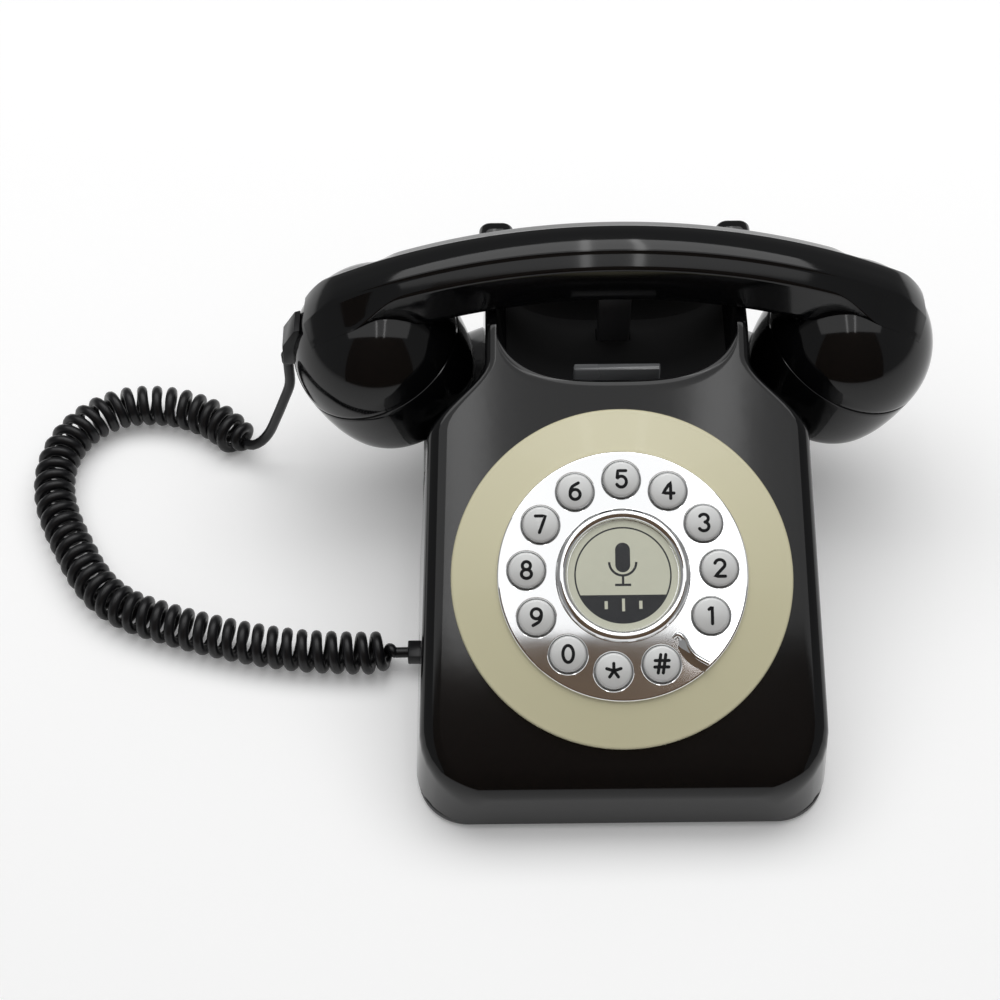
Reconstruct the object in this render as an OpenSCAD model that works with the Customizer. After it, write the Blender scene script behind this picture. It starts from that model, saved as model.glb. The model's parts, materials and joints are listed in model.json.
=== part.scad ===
// Desk telephone with a ring of push buttons and a curly handset cord.
// Millimetres, +X to the user's right, +Y to the back, +Z up, feet on z = 0.

/* [Case] */
// Width over the side walls at the bottom of the case
base_w = 147; // [143:1:152]
// Depth from the front wall to the back wall
base_d = 198; // [195:1:206]
// Height of the panel's front edge above the table
front_h = 28; // [26:0.5:31]
// Slope of the front panel in degrees
panel_angle = 27; // [26:0.5:28]
// Lean of the side walls in degrees
side_lean = 4; // [3:0.5:5]
// Thickness of the case walls
wall = 3; // [2.5:0.25:4]
// Corner radius of the case in plan at the front
front_corner_r = 22; // [16:1:26]
// Corner radius of the case in plan at the back
back_corner_r = 18; // [14:1:22]
// Rounding between the panel and its front wall
front_edge_r = 7; // [5:0.5:9]
// Rounding of the panel's side edges
side_edge_r = 7; // [5:0.5:9]
// Height of the rubber feet
foot_h = 2; // [1.5:0.25:3]
// Radius of the rubber feet
foot_r = 7; // [5:0.5:9]
// Thickness of the base plate
base_plate_t = 2.5; // [2:0.25:4]

/* [Cradle] */
// Depth of the deck from the lip to the back wall
lip_back = 70.14; // [69:0.25:71.5]
// Distance up the panel from the lip to the tips of the front horns
horn_run = 21.5; // [20:0.5:23]
// Gap between the neck and the handset's caps
neck_gap = 4.1; // [3:0.1:6]
// Depth of the cradle floor below the lip
floor_drop = 14; // [12:0.5:16]
// Width of the cradle's cheeks
cheek_w = 4; // [3:0.5:5]
// Height of the rear horns above the cheeks
rear_horn_h = 15.5; // [12:0.5:17]
// Width of one rear horn
rear_horn_w = 12.5; // [10:0.5:14]
// Thickness of one rear horn
rear_horn_t = 6.5; // [5:0.5:8]
// Width of the hook bar that shows behind the lip
hook_w = 31; // [26:1:36]
// Thickness of the hook bar
hook_t = 3; // [2.5:0.25:4]
// Travel of the hook bar
hook_travel = 4; // [2:0.5:5]

/* [Dial] */
// Gap on the panel between its front edge and the cream ring
dial_front = 14; // [12:0.5:16]
// Gap on the panel between the cream ring and the lip
dial_back = 9.5; // [8:0.5:11]
// Height of the cream ring's outer edge above the panel
bezel_edge = 2.2; // [1.6:0.1:3]
// Radius of the chrome plate as a share of the cream ring's
plate_share = 0.732; // [0.72:0.003:0.75]
// Thickness of the chrome plate
plate_t = 1.6; // [1.2:0.1:2]
// Height of the chrome plate's face above the panel
plate_w = 7; // [6:0.1:8]
// Radius of the circle through the key centres as a share of the cream ring's
key_ring_share = 0.56; // [0.555:0.005:0.57]
// Radius of a key as a share of the cream ring's
key_share = 0.1045; // [0.1:0.0015:0.107]
// Height of a key's rim above the chrome plate
key_h = 1.9; // [1.6:0.1:3]
// Travel of a key
key_travel = 1.3; // [0.8:0.1:1.6]
// Angle between neighbouring keys in degrees
key_step = 28.9; // [28:0.1:29.5]
// Outer radius of the chrome ring round the centre card as a share of the cream ring's
centre_share = 0.393; // [0.38:0.003:0.4]
// Width of the chrome ring round the centre card
centre_rim = 4.1; // [3:0.1:5]

/* [Handset] */
// Length of the handset
handset_len = 238; // [235:1:242]
// Radius of the handset's bowls at the cap seam
cup_r = 32; // [30.5:0.5:33]
// Tilt of the caps in degrees
cup_tilt = 23.5; // [21:0.5:25]
// Thickness of the handle
handle_t = 23.5; // [22:0.5:25]
// Width of the handle
handle_w = 23.2; // [21:0.2:24]
// Radius of the handle's top along its length
arc_r = 222; // [214:1:232]
// Drop from the top of the handle to the cap seam
cup_drop = 59.5; // [57:0.5:61]
// Height of a cap below its seam
cap_h = 30; // [27:0.5:31]
// Travel for lifting the handset clear of the case
lift_travel = 90; // [60:5:120]

/* [Cord] */
// Diameter of the cord
cord_d = 4; // [3.4:0.1:4.1]
// Radius of the curls at the middle of the cord
curl_r = 6.1; // [5.5:0.1:6.3]
// Number of curls
curls = 50; // [40:1:51]

/* [Fits] */
// Gap round a piece that slides
slide_gap = 0.35; // [0.3:0.05:0.5]
// Gap round a piece that is pushed into its seat
seat_gap = 0.2; // [0.1:0.05:0.3]
// Gap between the resting handset and the cradle's cheeks
rest_gap = 0.4; // [0.3:0.1:0.6]

/* [Hidden] */
$fn = 64;

function clamp01(t) = max(0, min(1, t));
function ease(t) = let (c = clamp01(t)) c * c * (3 - 2 * c);
function mix(a, b, t) = a + (b - a) * t;
// Depth lost at distance d inside a rounded edge of radius r
function round_loss(d, r) = d >= r ? 0 : r - sqrt(r * r - (r - d) * (r - d));

// Case: a panel line from the front edge, cheeks at the height of the front horns
case_z = foot_h + base_plate_t;
front_y = -base_d / 2;
back_y = base_d / 2;
function panel_y(s) = front_y + s * cos(panel_angle);
function panel_z(s) = front_h + s * sin(panel_angle);
function panel_s(y) = (y - front_y) / cos(panel_angle);
lip_s = (base_d - lip_back) / cos(panel_angle);
horn_s = lip_s + horn_run;
lip_y = panel_y(lip_s);
lip_z = panel_z(lip_s);
horn_y = panel_y(horn_s);
cheek_z = panel_z(horn_s);
floor_z = lip_z - floor_drop;
rear_z = lip_z + 4;
back_edge_r = 12;
neck_edge_r = 2;

// Handset: rests on the cheeks, its axis behind the lip
handset_y = lip_y + 34.8;
cup_x = handset_len / 2 - cup_r;
// Points of a cap's side: radius lost and share of the cap's height
cap_side = [[0.3, 0.3], [1.2, 0.55], [2.8, 0.76], [4.6, 0.89], [6.6, 0.97]];
cap_reach = max([for (p = cap_side) (cup_r - p[0]) * cos(cup_tilt) + p[1] * cap_h * sin(cup_tilt)]);
neck_w = 2 * (cup_x - cap_reach - neck_gap);
under_r = arc_r - handle_t;
arc_sag = under_r - sqrt(under_r * under_r - neck_w * neck_w / 4);
handset_top = cheek_z + rest_gap + handle_t + arc_sag;
arc_z = handset_top - arc_r;
cup_z = handset_top - cup_drop;
end_in = 7;
end_up = 3;
end_rise = 6.3;
face_r = cup_r - 9;
spigot_r = cup_r - 4;
spigot_t = 2.5;
spigot_h = 4.2;
flange_t = 0.8;
pocket_r = cup_r - 10;
pocket_h = 11;

// Rear horns stand just behind the handle
rear_horn_y = handset_y + handle_w / 2 + 3.2;
rear_horn_x = neck_w / 2 - rear_horn_w / 2 + 2;
rear_horn_z = cheek_z + rear_horn_h;

// Scoops beside the neck leave room for the caps
scoop_run = 15.4;
scoop_top = cup_z - cap_h * cos(cup_tilt) + face_r * sin(cup_tilt) - 2.5;
scoop_low = scoop_top - scoop_run;
function wall_x(z) = base_w / 2 - (z - case_z) * tan(side_lean);
function neck_x(z) = neck_w / 2 + max(0, cheek_z - z) * 0.03
    + (wall_x(scoop_low) - 2 - neck_w / 2) * ease((scoop_top - z) / (scoop_top - scoop_low));
function side_x(y, z, k) = mix(wall_x(z), neck_x(z), k)
    - round_loss(y - front_y, front_corner_r) - round_loss(back_y - y, back_corner_r);

// Rows of the case from front to back: middle y and z, edge y and z, neck share, edge radius
function panel_row(s) = let (
        bend = ease((s - 0.7 * lip_s) / (0.3 * lip_s)),
        e = s + bend * (horn_s - lip_s),
        k = ease((e - lip_s + 16) / 26))
    [panel_y(s), panel_z(s), panel_y(e), panel_z(e), k, mix(side_edge_r, neck_edge_r, k)];
function front_row(a) = let (
        y = front_y + front_edge_r * (1 - cos(a)),
        z = panel_z(panel_s(y)) - front_edge_r * (1 - sin(a)))
    [y, z, y, z, 0, side_edge_r];
function trough_row(t) = let (
        ym = mix(lip_y + 7, rear_horn_y + rear_horn_t, t),
        ye = mix(horn_y + 3, rear_horn_y + rear_horn_t, t))
    [ym, mix(floor_z, rear_z, ease((ym - handset_y - 7) / 9)), ye, cheek_z, 1, neck_edge_r];
function back_row(a) = let (
        y = back_y - back_edge_r * (1 - sin(a)),
        d = back_edge_r * (1 - cos(a)))
    [y, rear_z - d, y, cheek_z - d, 1, neck_edge_r];
front_s = panel_s(front_y + front_edge_r);
rows = concat(
    [for (a = [0 : 22.5 : 67.5]) front_row(a)],
    [for (t = [0, 0.08, 0.22, 0.4, 0.56, 0.68, 0.76, 0.83, 0.88, 0.92, 0.955, 0.985])
        panel_row(mix(front_s, lip_s, t))],
    [[lip_y + 1.2, lip_z - 0.1, horn_y + 0.7, cheek_z, 1, neck_edge_r],
     [lip_y + 2.6, lip_z - 1.4, horn_y + 1.4, cheek_z, 1, neck_edge_r],
     [lip_y + 4.2, floor_z + 1, horn_y + 2.2, cheek_z, 1, neck_edge_r]],
    [for (t = [0, 0.15, 0.35, 0.55, 0.72, 0.87, 1]) trough_row(t)],
    [for (a = [0 : 22.5 : 90]) back_row(a)]);

// Half of one row: from the middle over the edge and down the side
top_steps = 8;
edge_steps = 3;
side_steps = 6;
half_n = top_steps + edge_steps + side_steps + 2;
function half_row(r) = let (
        e = side_x(r[2], r[3] - r[5], r[4]),
        w = max(cheek_w, r[5] + 0.5))
    concat(
        [for (i = [0 : top_steps]) let (u = sin(90 * i / top_steps), b = 1 - sqrt(1 - u * u * u))
            [u * (e - w), mix(r[0], r[2], b), mix(r[1], r[3], b)]],
        [for (i = [0 : edge_steps]) let (a = 90 * i / edge_steps)
            [e - r[5] + r[5] * sin(a), r[2], r[3] - r[5] + r[5] * cos(a)]],
        [for (i = [1 : side_steps]) let (z = mix(r[3] - r[5], case_z, i / side_steps))
            [side_x(r[2], z, r[4]), r[2], z]]);
function full_row(r) = let (h = half_row(r)) concat(
    [for (i = [half_n - 1 : -1 : 1]) [-h[i][0], h[i][1], h[i][2]]], h);

// Hollow of the case: under the panel, up into the neck and wide in the foot
foot_top = scoop_low - wall;
neck_in = neck_w / 2 - cheek_w - wall;
function hollow_y(y) = mix(front_y + wall, back_y - wall, (y - front_y) / base_d);
function roof_z(y) = min(floor_z - wall,
    panel_z(panel_s(y)) - wall / cos(panel_angle) - round_loss(y - front_y, front_edge_r));
function hollow_row(y) = let (
        k = ease((panel_s(y) - lip_s + 42) / 30),
        corner = round_loss(y - front_y - wall, front_corner_r - wall)
            + round_loss(back_y - wall - y, back_corner_r - wall),
        top = roof_z(y),
        foot_x = wall_x(scoop_low) - wall - 5 - corner,
        side = wall_x(top) - wall - corner,
        h = [[wall_x(case_z) - wall - corner, case_z],
            [mix(side, foot_x, k), mix(top - 6, foot_top, k)],
            [mix(side - 2, neck_in - corner, k), mix(top - 2, foot_top + 1, k)],
            [mix(side - 6, neck_in - corner, k), top]])
    concat([for (p = h) [-p[0], y, p[1]]], [for (i = [3 : -1 : 0]) [h[i][0], y, h[i][1]]]);

// Shell of the case: the outer skin of rows with its end walls, the hollow's skin and the bottom rim
module case_body() {
    n = 2 * half_n - 1;
    last = len(rows) - 1;
    inner = n * (last + 1);
    points = concat([for (r = rows) each full_row(r)], [for (r = rows) each hollow_row(hollow_y(r[2]))]);
    skin = [for (i = [0 : last - 1], j = [0 : n - 2]) let (a = i * n + j, b = a + n)
        each [[a, b, b + 1], [a, b + 1, a + 1]]];
    hollow = [for (i = [0 : last - 1], j = [0 : 6]) let (a = inner + 8 * i + j, b = a + 8)
        each [[a, b + 1, b], [a, a + 1, b + 1]]];
    rim = [for (i = [0 : last - 1]) let (a = i * n, b = a + n, c = inner + 8 * i, d = c + 8)
        each [[a, c, d], [a, d, b], [c + 7, a + n - 1, b + n - 1], [c + 7, b + n - 1, d + 7]]];
    rim_ends = let (a = last * n, c = inner + 8 * last)
        [[0, n - 1, inner + 7], [0, inner + 7, inner], [c, c + 7, a + n - 1], [c, a + n - 1, a]];
    front = [for (j = [0 : half_n - 2]) let (m = n - 1 - j)
        each j == half_n - 2 ? [[j, m - 1, m]] : [[j, j + 1, m - 1], [j, m - 1, m]]];
    back = [for (f = front) [for (k = [2 : -1 : 0]) f[k] + last * n]];
    hollow_front = [for (j = [0 : 2]) let (a = inner + j, m = inner + 7 - j)
        each [[a, m - 1, a + 1], [a, m, m - 1]]];
    hollow_back = [for (f = hollow_front) [for (k = [2 : -1 : 0]) f[k] + 8 * last]];
    polyhedron(points, concat(skin, hollow, rim, rim_ends, front, back, hollow_front, hollow_back));
}

// Block with a round-cornered outline, its front face on y = 0
module plan_block(w, d, h, r) {
    linear_extrude(h) {
        translate([-w / 2 + r, 0])
            square([w - 2 * r, d]);
        translate([-w / 2, r])
            square([w, d - 2 * r]);
        for (x = [-w / 2 + r, w / 2 - r], y = [r, d - r])
            translate([x, y])
                circle(r);
    }
}

// Dial: a frame whose origin is the dial's centre on the panel, its +Z square to the panel
bezel_r = (lip_s - dial_front - dial_back) / 2;
dial_s = dial_front + bezel_r;
plate_r = bezel_r * plate_share;
key_ring_r = bezel_r * key_ring_share;
key_r = bezel_r * key_share;
key_flange_r = key_r + 1.1;
centre_r = bezel_r * centre_share;
hole_r = bezel_r - 8;
skirt_r = hole_r - slide_gap;
ledge_r = plate_r - 1.2;
plate_under = plate_w - plate_t;
key_flange_t = 1.2;
dome_gap = 0.1;
mat_top = plate_under - slide_gap - key_flange_t - key_travel - dome_gap;
dome_h = 2;
mat_t = 1.2;
board_t = 1.6;
board_top = mat_top - dome_h - mat_t;
board_r = skirt_r - 1;
module on_panel() {
    translate([0, panel_y(dial_s), panel_z(dial_s)])
        rotate([panel_angle, 0, 0])
            children();
}
// Keys run anticlockwise from the 1 key, with the gap for the finger stop before it
key_names = ["1", "2", "3", "4", "5", "6", "7", "8", "9", "0", "star", "hash"];
function key_angle(i) = 90 + (i - 4) * key_step;
stop_angle = (key_angle(0) + key_angle(11) - 360) / 2;
module at_key(i) {
    rotate(key_angle(i))
        translate([key_ring_r, 0, 0])
            children();
}

// Screws: one size for the base, one for the keypad
screw_r = 1.4;
screw_head_r = 2.8;
screw_head_t = 1.6;
small_screw_r = 1.1;
base_screw_len = 14;
boss_r = 4;
base_bosses = [for (x = [-1, 1]) each [[x * (base_w / 2 - 22), front_y + 20],
    [x * (base_w / 2 - 22), back_y - 24]]];
feet = [for (x = [-1, 1]) each [[x * (base_w / 2 - 14), front_y + 34], [x * (base_w / 2 - 16), back_y - 40]]];
keypad_screw_at = [for (a = [45 : 90 : 315]) [(ledge_r + skirt_r) / 2 * cos(a),
    (ledge_r + skirt_r) / 2 * sin(a)]];

// Hook: a bar behind the lip, and a lever with a pad under the handle
hook_y = lip_y + 6.5;
hook_top = lip_z;
pad_w = 12;
pad_t = 5;
pad_y = handset_y - pad_t / 2;
pad_top = arc_z + sqrt((arc_r - handle_t) * (arc_r - handle_t) - pad_w * pad_w / 4) - 0.5;
bridge_t = 4;
spring_r = 3;
spring_wire = 0.8;
spring_turns = 6;
spring_y = handset_y;
board_z = case_z + 6;
main_board_t = 1.6;
main_board_y = handset_y - 37;
main_board_w = 72;
main_board_d = back_y - wall - 8 - main_board_y;
spring_z = board_z + main_board_t;
bridge_z = spring_z + 14;

// Cord socket in the left side, plug pushed into it
jack_y = -29.6;
jack_z = curl_r + cord_d / 2 + 0.2;
jack_w = 12;
jack_h = 8;
jack_len = 15;
plug_w = 7.6;
plug_h = 5;
plug_out = 4;
wall_out = wall_x(jack_z);
plug_end = -wall_out - plug_out;

// Handset end where the cord leaves it
gland_w = 10;
gland_low = cup_z - 3;
gland_top = gland_low + 19;
gland_in = handset_len / 2 - 4;
boot_r = 2.3;
lead_x = -handset_len / 2 - seat_gap - boot_r;
lead_top = gland_low - 4;

// Case: shell, screw bosses, rear horns and openings as one faceted skin. A zero in resize keeps a size.
function boss_top(p) = (p[1] < 0 ? roof_z(p[1]) : foot_top) + 0.7;
module upper_housing() {
    color([0.03, 0.03, 0.035])
        resize([0, 0, 0])
            difference() {
                union() {
                    case_body();
                    for (p = base_bosses)
                        translate([p[0], p[1], case_z])
                            cylinder(r = boss_r, h = boss_top(p) - case_z, $fn = 24);
                    for (x = [-rear_horn_x, rear_horn_x])
                        translate([x, rear_horn_y, 0])
                            rear_horn();
                }
                on_panel()
                    translate([0, 0, -12])
                        cylinder(r = hole_r, h = 30, $fn = 96);
                for (p = base_bosses)
                    translate([p[0], p[1], 0])
                        cylinder(r = screw_r + seat_gap, h = foot_h + base_screw_len + 1, $fn = 24);
                translate([-hook_w / 2 - slide_gap, hook_y - slide_gap, floor_z - wall - 1])
                    cube([hook_w + 2 * slide_gap, hook_t + 2 * slide_gap, 30]);
                translate([-pad_w / 2 - slide_gap, pad_y - slide_gap, floor_z - wall - 1])
                    cube([pad_w + 2 * slide_gap, pad_t + 2 * slide_gap, 30]);
                translate([-base_w, jack_y - jack_w / 2 - seat_gap, case_z - 1])
                    cube([base_w / 2 + wall + 2, jack_w + 2 * seat_gap,
                        jack_z + jack_h / 2 + seat_gap - case_z + 1]);
                translate([-usb_w / 2 - seat_gap, back_y - 20, usb_z - seat_gap])
                    cube([usb_w + 2 * seat_gap, 40, usb_h + 2 * seat_gap]);
            }
}

// One rear horn with a round top, its front face on y = 0
module rear_horn() {
    translate([0, rear_horn_t, 0])
        rotate([90, 0, 0])
            linear_extrude(rear_horn_t) {
                translate([-rear_horn_w / 2, floor_z])
                    square([rear_horn_w, rear_horn_z - rear_horn_w / 3 - floor_z]);
                translate([-rear_horn_w / 6, floor_z])
                    square([rear_horn_w / 3, rear_horn_z - floor_z]);
                for (x = [-rear_horn_w / 6, rear_horn_w / 6])
                    translate([x, rear_horn_z - rear_horn_w / 3])
                        circle(rear_horn_w / 3, $fn = 40);
            }
}

module base_plate() {
    color([0.05, 0.05, 0.055])
        difference() {
            union() {
                translate([0, front_y + 1, foot_h])
                    plan_block(base_w - 2, base_d - 2, base_plate_t, back_corner_r);
                for (p = board_posts)
                    translate([p[0], p[1], case_z])
                        cylinder(r = 3, h = board_z - case_z);
            }
            for (p = base_bosses)
                translate([p[0], p[1], 0]) {
                    cylinder(r = screw_r + seat_gap, h = case_z + 1);
                    cylinder(r = screw_head_r + seat_gap, h = foot_h + screw_head_t);
                }
        }
}

board_posts = [for (x = [-main_board_w / 2 + 5, main_board_w / 2 - 5],
    y = [main_board_y + 5, main_board_y + main_board_d - 5]) [x, y]];

module rubber_feet() {
    color([0.08, 0.08, 0.08])
        for (p = feet)
            translate([p[0], p[1], 0])
                cylinder(r = foot_r, h = foot_h);
}

module base_screws() {
    color([0.6, 0.6, 0.62])
        for (p = base_bosses)
            translate([p[0], p[1], foot_h + screw_head_t]) {
                translate([0, 0, -screw_head_t + 0.2])
                    cylinder(r = screw_head_r, h = screw_head_t - 0.2);
                cylinder(r = screw_r, h = base_screw_len - screw_head_t);
            }
}

// Steel weight on the base plate
ballast_w = 80;
ballast_d = 46;
ballast_t = 3;
ballast_y = front_y + 62;
module ballast_plate() {
    color([0.5, 0.5, 0.52])
        translate([-ballast_w / 2, ballast_y, case_z])
            cube([ballast_w, ballast_d, ballast_t]);
}

module main_board() {
    color([0.1, 0.3, 0.15])
        translate([-main_board_w / 2, main_board_y, board_z])
            cube([main_board_w, main_board_d, main_board_t]);
}

battery_w = 76;
battery_d = 24;
battery_h = 17;
module battery_pack() {
    color([0.2, 0.25, 0.5])
        translate([-battery_w / 2, front_y + wall + 22, case_z])
            cube([battery_w, battery_d, battery_h]);
}

// Charging socket on the board's rear edge
usb_w = 9;
usb_h = 3.4;
usb_z = board_z + main_board_t;
module usb_port() {
    color([0.65, 0.65, 0.67])
        translate([-usb_w / 2, main_board_y + main_board_d - 6, usb_z])
            difference() {
                cube([usb_w, back_y - wall - main_board_y - main_board_d + 7, usb_h]);
                translate([0.5, 3, 0.5])
                    cube([usb_w - 1, 40, usb_h - 1]);
            }
}

// Switch under the hook's bridge, with its button just below it
switch_w = 13;
switch_d = 6.5;
switch_y = hook_y + 8;
switch_button = 1.6;
module hook_switch() {
    color([0.12, 0.12, 0.12])
        translate([-switch_w / 2, switch_y, usb_z]) {
            cube([switch_w, switch_d, bridge_z - usb_z - switch_button - 0.1]);
            translate([switch_w / 2, switch_d / 2, bridge_z - usb_z - switch_button - 0.1])
                cylinder(r = 1.2, h = switch_button);
        }
}

module hook_plunger() {
    color([0.45, 0.46, 0.47])
        translate([-hook_w / 2, hook_y, bridge_z])
            cube([hook_w, hook_t, hook_top - bridge_z]);
}

// Lever behind the hook bar: a bridge in the neck and a pad that the handle presses
module hook_lever() {
    color([0.06, 0.06, 0.065])
        translate([-pad_w / 2, 0, bridge_z]) {
            translate([0, hook_y + hook_t, 0])
                cube([pad_w, pad_y + pad_t - hook_y - hook_t, bridge_t]);
            translate([0, pad_y, 0])
                cube([pad_w, pad_t, pad_top - bridge_z]);
        }
}

// Tubes: rings of a wound strand about a route
ring_sides = 6;
function unit(v) = v / max(norm(v), 1e-9);
function ring(c, e1, e2, r) = [for (k = [0 : ring_sides - 1])
    c + r * (cos(360 * k / ring_sides) * e1 + sin(360 * k / ring_sides) * e2)];
module tube(centres, radials, r) {
    n = len(centres);
    points = [for (i = [0 : n - 1]) let (
            t = unit(centres[min(i + 1, n - 1)] - centres[max(i - 1, 0)]),
            e1 = unit(radials[i] - (radials[i] * t) * t))
        each ring(centres[i], e1, cross(t, e1), r)];
    side = [for (i = [0 : n - 2], k = [0 : ring_sides - 1]) let (
            a = i * ring_sides + k,
            b = i * ring_sides + (k + 1) % ring_sides)
        each [[a, a + ring_sides, b + ring_sides], [a, b + ring_sides, b]]];
    caps = [for (k = [1 : ring_sides - 2])
        each [[0, k, k + 1], [0, k + 1, k] + [1, 1, 1] * (n - 1) * ring_sides]];
    polyhedron(points, concat(side, caps));
}

module plunger_spring() {
    steps = spring_turns * 8;
    spring_h = bridge_z - spring_z - spring_wire;
    centres = [for (i = [0 : steps]) [spring_r * cos(45 * i), spring_y + spring_r * sin(45 * i),
        spring_z + spring_wire / 2 + spring_h * i / steps]];
    radials = [for (i = [0 : steps]) [cos(45 * i), sin(45 * i), 0]];
    color([0.7, 0.7, 0.72])
        tube(centres, radials, spring_wire / 2);
}

module cord_jack() {
    color([0.06, 0.06, 0.06])
        difference() {
            translate([-wall_out + 1, jack_y - jack_w / 2, case_z])
                cube([jack_len, jack_w, jack_z + jack_h / 2 - case_z]);
            translate([-wall_out, jack_y - plug_w / 2 - seat_gap, jack_z - plug_h / 2 - seat_gap])
                cube([jack_len - 3, plug_w + 2 * seat_gap, plug_h + 2 * seat_gap]);
        }
}

module cord_plug() {
    color([0.8, 0.8, 0.78, 0.6])
        translate([plug_end, jack_y - plug_w / 2, jack_z - plug_h / 2])
            cube([plug_out + jack_len - 4, plug_w, plug_h]);
}

// Cream ring: a flat cone that rises to the chrome plate's seat, with a skirt in the case
module dial_bezel() {
    color([0.80, 0.78, 0.64])
        on_panel()
            difference() {
                rotate_extrude()
                    polygon([[bezel_r, 0], [bezel_r, bezel_edge - 0.6], [bezel_r - 0.5, bezel_edge],
                        [plate_r + 0.6, plate_under], [ledge_r, plate_under], [ledge_r, board_top],
                        [skirt_r, board_top], [skirt_r, 0]]);
                for (p = keypad_screw_at)
                    translate([p[0], p[1], board_top - 1])
                        cylinder(r = small_screw_r + 0.05, h = 5.8);
            }
}

// Chrome plate on the cream ring, with a round rim and twelve key holes
module dial_plate() {
    color([0.85, 0.86, 0.88])
        on_panel()
            difference() {
                rotate_extrude()
                    polygon([[0, plate_under], [plate_r, plate_under], [plate_r, plate_w - 0.9],
                        [plate_r - 0.25, plate_w - 0.35], [plate_r - 0.8, plate_w], [0, plate_w]]);
                for (i = [0 : 11])
                    at_key(i)
                        translate([0, 0, plate_under - 1])
                            cylinder(r = key_r + slide_gap, h = plate_t + 2);
            }
}

// Fixed ridge that stands where a turning dial would have its stop
stop_w = 7;
stop_h = 2.4;
module finger_stop() {
    head_r = stop_w / 2;
    low_r = centre_r + 0.4 + head_r;
    color([0.85, 0.86, 0.88])
        on_panel()
            rotate(stop_angle)
                translate([0, 0, plate_w])
                    intersection() {
                        union() {
                            translate([low_r, 0, 0])
                                cylinder(r = head_r, h = stop_h);
                            translate([low_r, -head_r, 0])
                                cube([plate_r - 0.6 - low_r, stop_w, stop_h]);
                        }
                        translate([0, 0, stop_h - 5])
                            rotate([0, 90, 0])
                                cylinder(r = 5, h = plate_r);
                    }
}

module centre_ring() {
    color([0.85, 0.86, 0.88])
        on_panel()
            rotate_extrude()
                polygon([[centre_r, plate_w], [centre_r, plate_w + 1.4], [centre_r - 0.6, plate_w + 2.3],
                    [centre_r - 1.5, plate_w + 2.6], [centre_r - centre_rim + 0.6, plate_w + 2.3],
                    [centre_r - centre_rim, plate_w + 1.6], [centre_r - centre_rim, plate_w]]);
}

card_r = centre_r - centre_rim - seat_gap;
card_t = 0.4;
lens_t = 1;
module centre_card() {
    color([0.75, 0.74, 0.66])
        on_panel()
            translate([0, 0, plate_w])
                cylinder(r = card_r, h = card_t);
}

module centre_lens() {
    color([0.9, 0.92, 0.93, 0.35])
        on_panel()
            translate([0, 0, plate_w + card_t])
                cylinder(r = card_r, h = lens_t);
}

// A key: domed cap through the plate, flange held behind it, hollow over the rubber dome
module key_form(i) {
    top = plate_w + key_h;
    low = plate_under - slide_gap - key_flange_t;
    color([0.62, 0.63, 0.63])
        on_panel()
            at_key(i)
                rotate_extrude()
                    polygon([[0, low], [key_flange_r, low], [key_flange_r, low + key_flange_t],
                        [key_r, low + key_flange_t], [key_r, top - 0.5], [key_r - 0.15, top - 0.15],
                        [key_r - 0.5, top], [key_r * 0.75, top + 0.3], [key_r * 0.4, top + 0.5],
                        [0, top + 0.56]]);
}
module key_1() key_form(0);
module key_2() key_form(1);
module key_3() key_form(2);
module key_4() key_form(3);
module key_5() key_form(4);
module key_6() key_form(5);
module key_7() key_form(6);
module key_8() key_form(7);
module key_9() key_form(8);
module key_0() key_form(9);
module key_star() key_form(10);
module key_hash() key_form(11);

// Rubber mat with a dome under each key, on the keypad board
module keypad_mat() {
    color([0.5, 0.5, 0.5])
        on_panel() {
            translate([0, 0, board_top])
                cylinder(r = ledge_r - seat_gap, h = mat_t);
            for (i = [0 : 11])
                at_key(i)
                    translate([0, 0, board_top])
                        cylinder(r = 3.5, h = mat_t + dome_h);
        }
}

module keypad_board() {
    color([0.1, 0.3, 0.15])
        on_panel()
            difference() {
                translate([0, 0, board_top - board_t])
                    cylinder(r = board_r, h = board_t);
                for (p = keypad_screw_at)
                    translate([p[0], p[1], board_top - board_t - 1])
                        cylinder(r = small_screw_r + 0.05, h = board_t + 2);
            }
}

module keypad_screws() {
    color([0.6, 0.6, 0.62])
        on_panel()
            for (p = keypad_screw_at)
                translate([p[0], p[1], board_top - board_t]) {
                    translate([0, 0, -1.4])
                        cylinder(r = 2, h = 1.4);
                    cylinder(r = small_screw_r, h = board_t + 4.5);
                }
}

// Handset: a turned arc for the handle, half spheres for the bowls, tilted cap seats
module about_arc(half_angle) {
    translate([0, handset_y, arc_z])
        rotate([90, 0, 0])
            rotate(90 - half_angle)
                rotate_extrude(angle = 2 * half_angle, $fn = 180)
                    children();
}
// Frame of one bowl: +Z up its tilted axis from the cap seam
module at_cup(side) {
    translate([side * cup_x, handset_y, cup_z])
        rotate([0, side * cup_tilt, 0])
            children();
}
end_angle = asin((handset_len / 2 - 0.5) / arc_r);
module handle_section() {
    w = handle_w / 2;
    side = [[0.25, 0.25], [0.9, 0.5], [1.7, 0.57], [4.8, 1], [13, 0.98]];
    low = [[3, 0.95], [0.8, 0.86], [0, 0.7]];
    half = concat([for (p = side) [arc_r - p[0], w * p[1]]], [for (p = low) [under_r + p[0], w * p[1]]]);
    polygon(concat([[arc_r, 0]], half, [for (i = [len(half) - 1 : -1 : 0]) [half[i][0], -half[i][1]]]));
}
module bowl(side) {
    difference() {
        translate([side * cup_x, handset_y, cup_z])
            sphere(cup_r, $fn = 120);
        under_seam(side);
    }
}
module under_seam(side) {
    at_cup(side)
        translate([-handset_len / 2, -handset_len / 2, -handset_len])
            cube(handset_len);
}
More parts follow.
